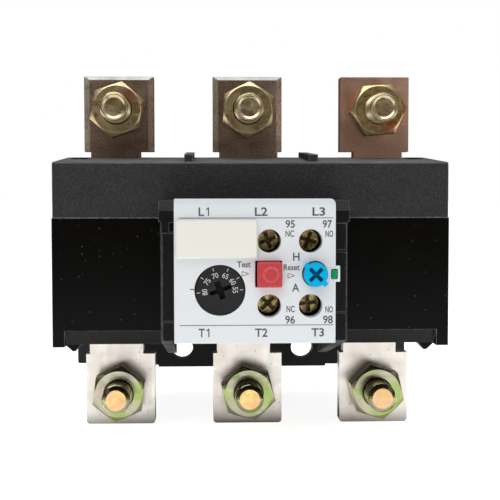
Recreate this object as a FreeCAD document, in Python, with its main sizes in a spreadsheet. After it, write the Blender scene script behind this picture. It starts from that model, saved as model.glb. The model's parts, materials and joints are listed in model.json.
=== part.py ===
"""Three-pole thermal overload relay with M8 bars and a plug-in trip module.

The frame: X to the right, Z up, the front faces -Y. The origin lies on the panel side of the
mounting plate, midway between the two panel-screw holes. All sizes are in millimetres.
"""
import FreeCAD, Part
import math
import os
import Sketcher

doc = FreeCAD.newDocument("overload_relay")
sheet = doc.addObject("Spreadsheet::Sheet", "sizes")
Vector = FreeCAD.Vector
Rotation = FreeCAD.Rotation

SIZES = [
    # power path
    ("pole_pitch", 37.0, "distance between poles"),
    ("bar_width", 20.0, "terminal bar"),
    ("bar_thick", 5.0, "terminal bar"),
    ("bar_face", -56.5, "front face of the bars"),
    ("bar_corner", 1.0, "rounding of the load bars' corners"),
    ("line_corner", 0.3, "rounding of the line bars' corners"),
    ("rolled_side", 1.6, "rolled edge along the sides of a line bar"),
    ("rolled_top", 1.0, "rolled edge along the top of a line bar"),
    ("rolled_depth", 0.4, "fall of the rolled edges"),
    ("upper_bar_top", 85.9, "free end of the line bars"),
    ("upper_shoulder", 64.3, "where the line bars narrow"),
    ("step_outer", 1.9, "line bars' shoulder on the side away from the middle pole"),
    ("step_inner", 3.9, "line bars' shoulder towards the middle pole"),
    ("step_middle", 1.2, "middle line bar's right shoulder"),
    ("upper_neck_end", 50.0, "inner end of the line bars"),
    ("lower_bar_end", -15.0, "free end of the load bars"),
    ("lower_shoulder", 5.7, "where the load bars narrow"),
    ("load_step_left", 1.1, "load bars' left shoulder"),
    ("load_step_right", 3.4, "load bars' right shoulder"),
    ("lower_neck_end", 24.0, "inner end of the load bars"),
    ("upper_stud", 75.9, "height of the line studs"),
    ("lower_stud", -4.8, "height of the load studs"),
    # M8 hardware
    ("thread", 8.0, "M8 bolts"),
    ("thread_core", 6.8, "root of the M8 thread"),
    ("line_tip", 3.6, "radius of a line stud's end"),
    ("line_dish", 3.1, "radius of the dish in a line stud's end"),
    ("load_tip", 2.7, "radius of a load stud's end"),
    ("line_lead", 0.5, "chamfer at a line stud's end"),
    ("load_lead", 1.1, "chamfer at a load stud's end"),
    ("dish_deep", 0.5, "dish in a line stud's end"),
    ("bar_hole", 9.0, "hole in the bars"),
    ("bolt_length", 25.0, "M8 bolts, under the head"),
    ("bolt_head", 5.3, "height of the bolt head"),
    ("head_flats", 13.0, "across the bolt head's flats"),
    ("nut_flats", 14.0, "across the nut's flats"),
    ("nut_high", 6.8, "height of the nut"),
    ("nut_sink", 0.9, "countersink of the nut's bore"),
    ("washer_flat", 1.6, "thickness of the flat washer"),
    ("washer_flat_wide", 16.0, "flat washer's diameter"),
    ("washer_spring", 2.2, "thickness of the spring washer"),
    ("washer_spring_wide", 13.0, "spring washer's diameter"),
    ("washer_split", 1.2, "gap in the spring washer"),
    ("spring_play", 0.1, "spring washer round its bolt"),
    ("flat_play", 0.2, "flat washer round its bolt"),
    # housing
    ("body_front", -87.4, "front face of the housing"),
    ("body_half", 52.25, "half width of the upper housing"),
    ("cover_half", 52.5, "half width over the side covers"),
    ("wall", 2.6, "housing walls"),
    ("parting", 45.9, "line between upper housing and covers"),
    ("roof_front", 60.6, "roof at the front"),
    ("roof_rear", 62.8, "roof at the bars"),
    ("floor_low", 12.0, "underside of the housing"),
    ("chamfer_top", 16.1, "upper edge of the covers' chamfer"),
    ("chamfer_rear", -83.0, "rear edge of the covers' chamfer"),
    ("slot_play", 0.2, "play of a bar in its slot"),
    ("hood_edge", 1.0, "rounding of the roof's front edge"),
    ("roof_rim", 1.8, "rim beside the hollows in the roof"),
    ("roof_hollow", 2.6, "depth of the hollows in the roof, beside the outer bars"),
    ("rib_place", 16.5, "roof ribs, from the middle"),
    ("rib_width", 2.4, "roof ribs"),
    ("rib_start", 1.4, "roof ribs, behind the front face"),
    ("rib_high", 2.0, "rise of the roof ribs at the front"),
    ("cover_gap", 0.8, "gap between the module case and a side cover"),
    ("cover_inner", 1.6, "side covers' walls beside the module case"),
    ("cover_outer", 2.0, "side covers' outer walls"),
    ("column_wide", 3.2, "columns at the outer corners of the side covers"),
    ("column_deep", 11.4, "columns at the outer corners of the side covers"),
    ("heel_deep", 2.3, "heels under the side covers"),
    ("plate_half", 55.25, "half width of the mounting plate"),
    ("plate_thick", 5.0, "mounting plate"),
    ("plate_low", -6.4, "lower edge of the mounting plate"),
    ("plate_step", 0.7, "each rise of the plate's lower edge towards its corners"),
    ("plate_high", 62.0, "upper edge of the mounting plate"),
    ("panel_hole", 7.3, "panel-screw holes"),
    ("panel_hole_place", 20.25, "panel-screw holes, from the middle"),
    ("partition", 18.5, "walls between the poles, from the middle"),
    ("partition_thick", 2.4, "walls between the poles"),
    ("tray_floor", 3.0, "floor under the pole chambers"),
    ("tray_roof", 3.8, "roof over the pole chambers"),
    ("tray_rear", -8.0, "rear of the pole chambers"),
    ("screw_core", 3.5, "housing screws"),
    ("screw_reach", 11.0, "housing screws, in front of the parting plane"),
    ("screw_bore", 12.0, "bores for the housing screws, in front of the parting plane"),
    ("post_long", 14.0, "front posts for the housing screws"),
    ("seat_deep", 2.4, "seats for the heads of the housing screws"),
    ("head_sunk", 0.5, "heads of the housing screws, below the plate"),
    ("drive_long", 3.4, "cross slots of the housing screws"),
    ("drive_wide", 0.8, "cross slots of the housing screws"),
    ("screw_post", 2.9, "radius of the posts for the housing screws"),
    ("screw_seat", 3.3, "radius of the seats for the screws' heads"),
    ("screw_side", 49.1, "housing screws, from the middle"),
    ("screw_high", 56.8, "upper housing screws"),
    ("screw_low", 16.6, "lower housing screws"),
    # trip module
    ("case_front", -106.0, "front wall of the module case"),
    ("case_rear", -57.0, "rear of the module case"),
    ("case_half", 23.1, "half width of the case"),
    ("case_inner", 20.6, "half width of the case inside"),
    ("cap_half", 23.7, "half width of the case's cap"),
    ("cap_low", 45.3, "lower edge of the cap"),
    ("cap_top", 50.7, "top of the cap"),
    ("case_low", 15.6, "lower front edge of the case"),
    ("case_low_rear", 9.2, "case floor at the rear"),
    ("leg_low_rear", 5.8, "case legs at the rear"),
    ("case_wall", 2.0, "front wall, roof and floor of the case"),
    ("face_front", -109.6, "front of the face plate"),
    ("face_half", 19.8, "half width of the face plate"),
    ("face_top", 51.1, "top of the face plate"),
    ("face_bevel", 1.5, "bevel along the face plate's top"),
    ("block_half", 22.8, "outer side of the raised blocks beside the face plate"),
    ("block_rise", 0.5, "height of those blocks"),
    ("wire_entry", 5.2, "square openings for the control wires"),
    ("back_thick", 3.0, "rear wall of the module"),
    ("tab_wide", 1.1, "tab at the right of the face plate"),
    ("tab_high", 3.9, "tab at the right of the face plate"),
    ("label_left", -19.4, "label strip"),
    ("label_right", 0.6, "label strip"),
    ("label_low", 36.6, "label strip"),
    ("label_high", 46.0, "label strip"),
    ("label_thick", 1.6, "label strip"),
    ("frame_front", -90.0, "front of the inner frame"),
    ("frame_thick", 2.0, "inner frame"),
    ("frame_low", 16.2, "underside of the inner frame"),
    # controls
    ("dial_side", -8.6, "dial axis"),
    ("dial_level", 28.7, "dial axis"),
    ("dial_wide", 12.2, "dial's diameter"),
    ("dial_shaft", 2.0, "radius of the dial's shaft"),
    ("cam_least", 3.2, "cam radius at the dial's rest"),
    ("cam_rise", 1.5, "cam rise in half a turn"),
    ("test_side", 3.49, "test button axis"),
    ("reset_side", 14.7, "reset knob axis"),
    ("button_level", 32.65, "test button and reset knob"),
    ("driver_hole", 5.8, "holes for the screwdriver"),
    ("button_front", -112.6, "front of the test button"),
    ("button_wide", 6.0, "test button"),
    ("button_high", 6.16, "test button"),
    ("button_deep", 4.4, "length of the test button's cap"),
    ("stem_wide", 4.0, "square stem of the test button"),
    ("stem_play", 0.4, "test button's stem in the case"),
    ("stem_flange", 5.6, "square stop flange of the test button"),
    ("knob_front", -112.9, "front of the reset knob"),
    ("knob_round", 2.95, "radius of the reset knob"),
    ("knob_deep", 4.5, "length of the reset knob's head"),
    ("knob_shaft", 1.4, "radius of the reset knob's shaft"),
    ("ear_reach", 3.7, "reset knob's ears, from its axis"),
    ("ear_wide", 1.3, "reset knob's ears"),
    ("ear_thick", 0.9, "reset knob's ears"),
    ("sleeve_round", 2.0, "radius of the reset sleeve"),
    ("sleeve_flange", 2.9, "radius of the reset sleeve's stop flange"),
    ("sleeve_tail", 4.2, "test button and reset sleeve behind their flanges"),
    ("flag_side", 19.5, "middle of the trip indicator"),
    ("flag_wide", 1.3, "trip indicator"),
    ("flag_high", 2.1, "trip indicator"),
    ("flag_front", -109.9, "front of the trip indicator"),
    ("flag_root", -104.0, "where the indicator's stem starts"),
    ("flag_end", -78.0, "rear end of the indicator's stem"),
    ("stop_front", -103.7, "front of the stop flanges on the button and the sleeve"),
    ("stop_rear", -102.2, "rear of the stop flanges"),
    ("screw_face", -101.2, "heads of the terminal screws"),
    ("screw_head", 3.3, "radius of the terminal screws' heads"),
    ("screw_shank", 1.75, "radius of the terminal screws' shanks"),
    ("clamp_wide", 6.6, "terminal clamps"),
    ("clamp_high", 6.4, "terminal clamps"),
    ("clamp_inside", 4.4, "room for the wire in a clamp"),
    ("clamp_front", -98.2, "front of the terminal clamps"),
    ("clamp_rear", -91.0, "rear of the terminal clamps"),
    ("nc_side", 3.5, "terminals of the opening contact"),
    ("no_side", 13.65, "terminals of the closing contact"),
    ("terminal_high", 40.7, "upper terminals"),
    ("terminal_low", 24.8, "lower terminals"),
    ("running_play", 0.05, "radial play of turning and sliding parts"),
    ("clearance", 0.3, "free space between moving parts"),
    # trip mechanism
    ("slide_travel", 2.2, "stroke of the trip slide"),
    ("slide_low", 21.0, "underside of the trip slide"),
    ("slide_thick", 2.0, "trip slide"),
    ("slide_front", -47.5, "front edge of the trip slide"),
    ("slide_rear", -36.5, "rear edge of the trip slide"),
    ("bimetal_pivot", 52.0, "height where the bimetals are clamped"),
    ("bimetal_thick", 1.2, "bimetal strip"),
    ("bimetal_front", -45.5, "front edge of the bimetals"),
    ("bimetal_rear", -38.5, "rear edge of the bimetals"),
    ("bimetal_low", 19.4, "free end of the bimetals"),
    ("heater_wide", 10.0, "heater strip"),
    ("heater_thick", 1.2, "heater strip"),
    ("heater_low", 18.0, "lower end of the heaters"),
    ("heater_high", 56.0, "upper end of the heaters"),
    ("meander_low", 26.5, "lowest cut of the heaters' meander"),
    ("meander_step", 4.0, "from cut to cut of the meander"),
    ("meander_cut", 1.6, "height of a cut"),
    ("contact_gap", 1.8, "opening of the auxiliary contacts"),
    ("bridge_front", -81.2, "front of the contact bridges"),
    ("bridge_thick", 0.6, "contact bridges"),
    ("pad_radius", 1.1, "contact pads"),
    ("pad_high", 0.8, "contact pads"),
    ("pad_offset", 6.6, "contact pads, above and below the slider"),
    ("bridge_wide", 2.6, "contact bridges"),
    ("bridge_pin", 0.9, "radius of the pins that carry the bridges"),
    ("strip_wide", 3.0, "fixed contact strips"),
    ("strip_thick", 0.8, "fixed contact strips"),
    ("block_long", 8.0, "depth of the contact slider"),
    ("compensator_side", -11.5, "pivot of the compensating lever"),
    ("compensator_depth", -74.0, "pivot of the compensating lever"),
    ("compensator_pin", 1.0, "radius of the compensating lever's pin"),
    ("compensator_hub", 2.2, "radius of the compensating lever's hub"),
    ("compensator_strip", 0.8, "thickness of the compensating strip"),
    ("lever_low", 18.0, "underside of the compensating lever"),
    ("lever_high", 20.4, "top of the compensating lever's arm"),
    ("lever_arm", 2.2, "depth of the compensating lever's arm"),
    ("slider_wide", 3.0, "setting slider"),
    ("slider_high", 39.0, "top of the setting slider"),
    ("trip_pivot_depth", -76.4, "pivot of the trip lever"),
    ("trip_pivot_level", 24.5, "pivot of the trip lever"),
    ("trip_side", 8.575, "middle of the trip lever"),
    ("strip_offset", 2.2, "contact strips, beyond the terminals' axes"),
    ("guide_rod", 0.8, "radius of the contact slider's guide rods"),
    ("guide_offset", 2.6, "guide rods, from the trip lever's middle"),
    ("trip_tip", 1.35, "radius of the trip lever's tip"),
    ("trip_pin", 0.75, "radius of the trip lever's pin"),
    ("cam_front", -100.0, "front of the cam and of the setting slider"),
    ("cam_rear", -97.0, "rear of the cam"),
    ("coil_radius", 1.4, "middle of the springs' wire"),
    ("coil_wire", 0.3, "half thickness of the springs' wire"),
]


class Size:
    """A length that keeps both its number and the sheet expression it comes from."""

    def __init__(self, number, text):
        self.number = number
        self.text = text

    def __add__(self, other):
        return Size(self.number + number(other), "(%s + %s)" % (self.text, text(other)))

    def __sub__(self, other):
        return Size(self.number - number(other), "(%s - %s)" % (self.text, text(other)))

    def __mul__(self, other):
        return Size(self.number * number(other), "(%s * %s)" % (self.text, text(other)))

    def __truediv__(self, other):
        return Size(self.number / number(other), "(%s / %s)" % (self.text, text(other)))

    def __rsub__(self, other):
        return Size(number(other) - self.number, "(%s - %s)" % (text(other), self.text))

    def __neg__(self):
        return Size(-self.number, "(0 - %s)" % self.text)

    __radd__ = __add__
    __rmul__ = __mul__


def number(value):
    return value.number if isinstance(value, Size) else float(value)


def text(value):
    return value.text if isinstance(value, Size) else "(%.6f)" % value


def lift(value):
    """A plain number as a Size, so that it can be added to and bound like one."""
    return value if isinstance(value, Size) else Size(float(value), text(value))


class Sizes:
    """Every cell of the sheet as an attribute with the cell's alias."""

    def __init__(self, rows):
        for row, (alias, value, note) in enumerate(rows, start=1):
            sheet.set("A%d" % row, alias)
            sheet.set("B%d" % row, "%g" % value)
            sheet.set("C%d" % row, note)
            sheet.setAlias("B%d" % row, alias)
            setattr(self, alias, Size(value, "sizes." + alias))


s = Sizes(SIZES)
doc.recompute()


# ---------------------------------------------------------------- building tools

def bind(item, name, value):
    item.setExpression(name, text(value))


def place(item, x, y, z, rotation=None):
    """Put an object at x, y, z, keeping the place bound to the sheet."""
    if rotation is not None:
        item.Placement = FreeCAD.Placement(Vector(), rotation)
    for axis, value in zip("xyz", (x, y, z)):
        bind(item, "Placement.Base." + axis, value)


AXES = {"x": Rotation(Vector(0, 1, 0), 90), "y": Rotation(Vector(1, 0, 0), -90), "z": Rotation()}


def box(name, x, y, z):
    """A block from three pairs of bounds."""
    item = doc.addObject("Part::Box", name)
    for edge, (low, high) in zip(("Length", "Width", "Height"), (x, y, z)):
        bind(item, edge, lift(high) - low)
    place(item, x[0], y[0], z[0])
    return item


def rod(name, axis, centre, radius, span):
    """A cylinder along an axis; centre gives the two other coordinates in X, Y, Z order."""
    item = doc.addObject("Part::Cylinder", name)
    bind(item, "Radius", radius)
    bind(item, "Height", lift(span[1]) - span[0])
    spot = list(centre)
    spot.insert("xyz".index(axis), span[0])
    place(item, *spot, rotation=AXES[axis])
    return item


def spoke(name, spot, reach, high, span, angle):
    """A block that runs out from an axis along Y, turned by an angle in degrees.

    Reach is the pair of distances from the axis where the block starts and ends.
    """
    item = doc.addObject("Part::Box", name)
    bind(item, "Length", lift(reach[1]) - reach[0])
    bind(item, "Width", lift(span[1]) - span[0])
    bind(item, "Height", high)
    turn = Rotation(Vector(0, -1, 0), angle)
    corner = turn.multVec(Vector(number(reach[0]), 0, number(high) / -2))
    place(item, spot[0] + corner.x, span[0], spot[1] + corner.z, turn)
    return item


def cone(name, axis, centre, radii, span):
    item = doc.addObject("Part::Cone", name)
    bind(item, "Radius1", radii[0])
    bind(item, "Radius2", radii[1])
    bind(item, "Height", lift(span[1]) - span[0])
    spot = list(centre)
    spot.insert("xyz".index(axis), span[0])
    place(item, *spot, rotation=AXES[axis])
    return item


def hexagon(name, centre, flats, span, turn):
    """A six-sided prism along Y, one corner turned from +X by an angle in degrees."""
    item = doc.addObject("Part::Prism", name)
    item.Polygon = 6
    bind(item, "Circumradius", lift(flats) / math.sqrt(3))
    bind(item, "Height", lift(span[1]) - span[0])
    place(item, centre[0], span[0], centre[1], AXES["y"] * Rotation(Vector(0, 0, 1), -turn))
    return item


def fuse(name, *parts):
    item = doc.addObject("Part::MultiFuse", name)
    item.Shapes = list(parts)
    item.Refine = True
    return item


def cut(name, base, *tools):
    item = doc.addObject("Part::Cut", name)
    item.Base = base
    item.Tool = tools[0] if len(tools) == 1 else fuse(name + "_tools", *tools)
    item.Refine = True
    return item


def common(name, first, second):
    item = doc.addObject("Part::Common", name)
    item.Base = first
    item.Tool = second
    return item


def group(name, parts):
    """Separate solids of one node."""
    item = doc.addObject("Part::Compound", name)
    item.Links = list(parts)
    return item


def body(name):
    return doc.addObject("PartDesign::Body", name)


def sketch(owner, plane, offset, *loops):
    """A sketch of closed loops, parallel to one of the body's origin planes.

    A loop is a list of corner points, or a circle given as ("circle", x, y, radius).
    """
    item = owner.newObject("Sketcher::SketchObject", owner.Name + "_sketch")
    flat = [side for side in owner.Origin.OriginFeatures if side.Role == plane + "_Plane"][0]
    item.AttachmentSupport = [(flat, "")]
    item.MapMode = "FlatFace"
    bind(item, "AttachmentOffset.Base.z", offset)
    for loop in loops:
        if loop[0] == "circle":
            add_circle(item, *loop[1:])
        else:
            add_polygon(item, loop)
    return item


def fix_point(item, edge, end, x, y):
    for kind, value in (("DistanceX", x), ("DistanceY", y)):
        index = item.addConstraint(Sketcher.Constraint(kind, -1, 1, edge, end, number(value)))
        item.setExpression("Constraints[%d]" % index, text(value))


def add_circle(item, x, y, radius):
    spot = Vector(number(x), number(y), 0)
    edge = item.addGeometry(Part.Circle(spot, Vector(0, 0, 1), number(radius)), False)
    fix_point(item, edge, 3, x, y)
    index = item.addConstraint(Sketcher.Constraint("Radius", edge, number(radius)))
    item.setExpression("Constraints[%d]" % index, text(radius))


def add_polygon(item, points):
    spots = [Vector(number(x), number(y), 0) for x, y in points]
    first = item.GeometryCount
    count = len(points)
    for k in range(count):
        item.addGeometry(Part.LineSegment(spots[k], spots[(k + 1) % count]), False)
    for k in range(count):
        following = first + (k + 1) % count
        item.addConstraint(Sketcher.Constraint("Coincident", first + k, 2, following, 1))
    for k, (x, y) in enumerate(points):
        fix_point(item, first + k, 1, x, y)


def pad(owner, profile, length, both_ways=False):
    item = owner.newObject("PartDesign::Pad", owner.Name + "_pad")
    item.Profile = profile
    item.Midplane = both_ways
    bind(item, "Length", length)
    owner.Tip = item
    return item


def pocket(owner, profile, length):
    item = owner.newObject("PartDesign::Pocket", owner.Name + "_pocket")
    item.Profile = profile
    bind(item, "Length", length)
    owner.Tip = item
    return item


def soften(owner, feature, size, chosen, kind="PartDesign::Fillet"):
    """Round or chamfer the edges of a body's feature that a test picks."""
    doc.recompute()
    names = ["Edge%d" % (k + 1) for k, edge in enumerate(feature.Shape.Edges) if chosen(edge)]
    item = owner.newObject(kind, owner.Name + "_soft")
    item.Base = (feature, names)
    bind(item, "Radius" if kind.endswith("Fillet") else "Size", size)
    owner.Tip = item
    return item


def slab(name, outline, half):
    """A body from a Y-Z outline, padded both ways from the middle."""
    item = body(name)
    pad(item, sketch(item, "YZ", 0, outline), half * 2, both_ways=True)
    return item


def along(edge, axis):
    """True for a straight edge that runs along an axis."""
    if edge.Curve.TypeId != "Part::GeomLine":
        return False
    return abs(abs(getattr(edge.Curve.Direction, axis)) - 1) < 1e-6


def coil(name, centre, radius, wire, span, turns):
    """A helical spring along Y with its two ends on the span's faces."""
    helix = doc.addObject("Part::Helix", name + "_line")
    free = lift(span[1]) - span[0] - wire * 2
    bind(helix, "Pitch", free / turns)
    bind(helix, "Height", free)
    bind(helix, "Radius", radius)
    section = doc.addObject("Part::RegularPolygon", name + "_wire")
    section.Polygon = 4
    bind(section, "Circumradius", wire)
    place(section, radius, 0, 0, Rotation(Vector(1, 0, 0), 90))
    item = doc.addObject("Part::Sweep", name)
    item.Sections = [section]
    item.Spine = (helix, ["Edge1"])
    item.Solid = True
    item.Frenet = True
    place(item, centre[0], span[0] + wire, centre[1], AXES["y"])
    return item


POLES = [("left", -s.pole_pitch), ("middle", 0), ("right", s.pole_pitch)]
NUT_TURNS = {"upper": (19, 27, 4), "lower": (23, 44, 43)}  # degrees, as tightened
HEAD_TURN = 12      # degrees
SPLIT_SLANT = 25    # degrees, the spring washers' gap
NUT_BEVEL = 30      # degrees, the turned faces of a nut
NUT_RIM = 0.475     # radius of a nut's turned face, as a share of its flats
DIAL_TURN = 20      # degrees, the arrow in the dial's slot
SCREW_TURN = 25     # degrees, from one terminal screw to the next
CAM_STEP = 11.54    # degrees between the corners of the cam
CAM_CORNERS = 17
bar_back = s.bar_face + s.bar_thick


def mid(centre, width):
    """The pair of bounds of a width centred on a place."""
    half = lift(width) / 2
    return (lift(centre) - half, lift(centre) + half)


# ---------------------------------------------------------------- bars and their bolts

def neck(row, side, across):
    """The bounds of a bar's neck, which stands off the bar's middle."""
    low, high = mid(across, s.bar_width)
    if row == "lower":
        return low + s.load_step_left, high - s.load_step_right
    left = s.step_inner if side == "right" else s.step_outer
    right = {"left": s.step_inner, "middle": s.step_middle, "right": s.step_outer}[side]
    return low + left, high - right


def terminal_bar(name, wide, thin, end, shoulder, inner, stud, corner):
    """A flat bar with a bolt hole, narrowed to a neck where it enters the housing."""
    item = body(name)
    outline = [(wide[0], end), (wide[1], end), (wide[1], shoulder), (thin[1], shoulder),
               (thin[1], inner), (thin[0], inner), (thin[0], shoulder), (wide[0], shoulder)]
    blank = pad(item, sketch(item, "XZ", -bar_back, outline), s.bar_thick)

    def free_corner(edge):
        return along(edge, "y") and abs(edge.CenterOfMass.z - number(end)) < 0.01

    soften(item, blank, corner, free_corner)
    hole = sketch(item, "XZ", -s.bar_face, ("circle", (wide[0] + wide[1]) / 2, stud, s.bar_hole / 2))
    pocket(item, hole, s.bar_thick)
    return item


def rolled_bar(name, wide, blank):
    """A line bar whose front face falls off towards its sides and its top."""
    start = s.bar_face + s.rolled_depth
    low, high = s.upper_neck_end - 1, s.upper_bar_top
    front = doc.addObject("Part::Wedge", name + "_front")
    for key, value in (("Xmin", wide[0] + s.rolled_side), ("Xmax", wide[1] - s.rolled_side),
                       ("Ymin", s.bar_face), ("Ymax", start), ("Zmin", low), ("Zmax", high - s.rolled_top),
                       ("X2min", wide[0]), ("X2max", wide[1]), ("Z2min", low), ("Z2max", high)):
        bind(front, key, value)
    rest = box(name + "_rest", wide, (start, bar_back), (low, high))
    return common(name, blank, fuse(name + "_hull", front, rest))


def nut(name, centre, flats, span, turn, bore):
    """A hexagon with both faces turned down to a cone, and a countersunk bore."""
    high = lift(span[1]) - span[0]
    middle = span[0] + high / 2
    rim = lift(flats) * NUT_RIM
    reach = rim + high / 2 / math.tan(math.radians(NUT_BEVEL))
    front = cone(name + "_front", "y", centre, (rim, reach), (span[0], middle))
    rear = cone(name + "_rear", "y", centre, (reach, rim), (middle, span[1]))
    shape = common(name + "_blank", hexagon(name + "_hex", centre, flats, span, turn),
                   fuse(name + "_cones", front, rear))
    hole = rod(name + "_bore", "y", centre, bore, span)
    sink = cone(name + "_sink", "y", centre, (bore + s.nut_sink, bore),
                (span[0], span[0] + s.nut_sink))
    return cut(name, shape, hole, sink)


def ring(name, centre, outer, inner, span, split=None):
    """A washer; a spring washer is split by a slanted gap at an angle in degrees."""
    tools = [rod(name + "_hole", "y", centre, inner, span)]
    if split is not None:
        gap = doc.addObject("Part::Box", name + "_gap")
        bind(gap, "Length", s.washer_split)
        bind(gap, "Width", s.washer_spring * 3)
        bind(gap, "Height", outer * 1.2)
        turn = Rotation(Vector(0, -1, 0), split) * Rotation(Vector(0, 0, 1), SPLIT_SLANT)
        corner = turn.multVec(Vector(number(s.washer_split) / -2, number(s.washer_spring) * -1.5, 0))
        middle = (span[0] + span[1]) / 2
        place(gap, centre[0] + corner.x, middle + corner.y, centre[1] + corner.z, turn)
        tools.append(gap)
    return cut(name, rod(name + "_disc", "y", centre, outer, span), *tools)


head_face = bar_back + s.washer_flat
stud_end = head_face - s.bolt_length
nut_back = s.bar_face - s.washer_spring
nut_face = nut_back - s.nut_high


def bolt(name, centre, dished):
    """An M8 bolt from behind the bar; line studs end in a dish, load studs in a long chamfer."""
    head = hexagon(name + "_head", centre, s.head_flats, (head_face, head_face + s.bolt_head), HEAD_TURN)
    radius = s.thread / 2
    lead = s.line_lead if dished else s.load_lead
    inside = rod(name + "_shank", "y", centre, s.thread_core / 2, (nut_face, head_face))
    outside = rod(name + "_end", "y", centre, radius, (stud_end + lead, nut_face))
    tip = cone(name + "_lead", "y", centre, (s.line_tip if dished else s.load_tip, radius),
               (stud_end, stud_end + lead))
    whole = fuse(name + "_whole", head, inside, outside, tip)
    if not dished:
        return whole
    dish = cone(name + "_dish", "y", centre, (s.line_dish, s.line_dish - 1),
                (stud_end, stud_end + s.dish_deep))
    return cut(name, whole, dish)


def hardware():
    nodes = []
    rings = {"spring": [], "flat": []}
    for row, level in (("upper", s.upper_stud), ("lower", s.lower_stud)):
        bolts, nuts = [], []
        for (side, across), turn in zip(POLES, NUT_TURNS[row]):
            spot = (across, level)
            tag = "_%s_%s" % (row, side)
            bolts.append(bolt("bolt" + tag, spot, row == "upper"))
            nuts.append(nut("nut" + tag, spot, s.nut_flats, (nut_face, nut_back), turn,
                            s.thread_core / 2))
            rings["spring"].append(ring("spring" + tag, spot, s.washer_spring_wide / 2,
                                        s.thread / 2 + s.spring_play, (nut_back, s.bar_face),
                                        split=turn * 3))
            rings["flat"].append(ring("flat" + tag, spot, s.washer_flat_wide / 2,
                                      s.thread / 2 + s.flat_play, (bar_back, head_face)))
        nodes += [group(row + "_bolts", bolts), group(row + "_nuts", nuts)]
    return nodes + [group("spring_washers", rings["spring"]), group("flat_washers", rings["flat"])]


def bars():
    """Line bars above and load bars below; the right line bar lies with its plain face forward."""
    nodes = []
    for side, across in POLES:
        wide = mid(across, s.bar_width)
        name = "upper_bar_" + side
        plain = side == "right"
        line = terminal_bar(name if plain else name + "_blank", wide, neck("upper", side, across),
                            s.upper_bar_top, s.upper_shoulder, s.upper_neck_end, s.upper_stud,
                            s.line_corner)
        nodes.append(line if plain else rolled_bar(name, wide, line))
        nodes.append(terminal_bar("lower_bar_" + side, wide, neck("lower", side, across),
                                  s.lower_bar_end, s.lower_shoulder, s.lower_neck_end, s.lower_stud,
                                  s.bar_corner))
    return nodes


# ---------------------------------------------------------------- housing

def screw_spots():
    return [(side, level) for side in (-s.screw_side, s.screw_side)
            for level in (s.screw_low, s.screw_high)]


def base_housing():
    """The rear moulding: mounting plate and a tray with one chamber for each pole."""
    plate = body("mounting_plate")
    low, high, half = s.plate_low, s.plate_high, s.plate_half
    first, second = s.panel_hole_place + 8, half - 4
    outline = [(-first, low), (first, low), (first, low + s.plate_step), (second, low + s.plate_step),
               (second, low + s.plate_step * 2), (half, low + s.plate_step * 2), (half, high),
               (-half, high), (-half, low + s.plate_step * 2), (-second, low + s.plate_step * 2),
               (-second, low + s.plate_step), (-first, low + s.plate_step)]
    blank = pad(plate, sketch(plate, "XZ", 0, outline), s.plate_thick)
    soften(plate, blank, s.plate_step * 0.9,
           lambda edge: along(edge, "y") and abs(edge.CenterOfMass.x) > number(half) - 1)
    holes = [("circle", side, 0, s.panel_hole / 2)
             for side in (-s.panel_hole_place, s.panel_hole_place)]
    pocket(plate, sketch(plate, "XZ", s.plate_thick, *holes), s.plate_thick)
    tray = slab("pole_tray", [(bar_back, s.floor_low), (-1, s.floor_low), (-1, s.roof_rear - 1),
                              (bar_back, s.roof_rear)], s.body_half)
    inner_floor, inner_roof = s.floor_low + s.tray_floor, s.roof_rear - s.tray_roof
    side = s.body_half - s.wall
    deep = (bar_back - 1, s.tray_rear)
    half_wall = s.partition_thick / 2
    tools = [box("chamber_left", (-side, -s.partition - half_wall), deep, (inner_floor, inner_roof)),
             box("chamber_middle", (-s.partition + half_wall, s.partition - half_wall), deep,
                 (inner_floor, inner_roof)),
             box("chamber_right", (s.partition + half_wall, side), deep, (inner_floor, inner_roof)),
             box("slide_way", (-s.partition - 3, s.partition + 3), (bar_back - 1, s.slide_rear + 0.5),
                 (s.slide_low - s.clearance, s.slide_low + s.slide_thick + s.clearance))]
    shell = cut("pole_chambers", tray, *tools)
    posts = [rod("screw_post_%d" % k, "y", spot, s.screw_post, (bar_back, -4))
             for k, spot in enumerate(screw_spots())]
    whole = fuse("base_whole", plate, shell, *posts)
    shanks = [rod("base_bore_%d" % k, "y", spot, s.screw_core / 2, (bar_back - 1, 1))
              for k, spot in enumerate(screw_spots())]
    seats = [rod("base_seat_%d" % k, "y", spot, s.screw_seat, (-s.seat_deep, 1))
             for k, spot in enumerate(screw_spots())]
    return cut("base_housing", whole, *shanks, *seats)


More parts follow.
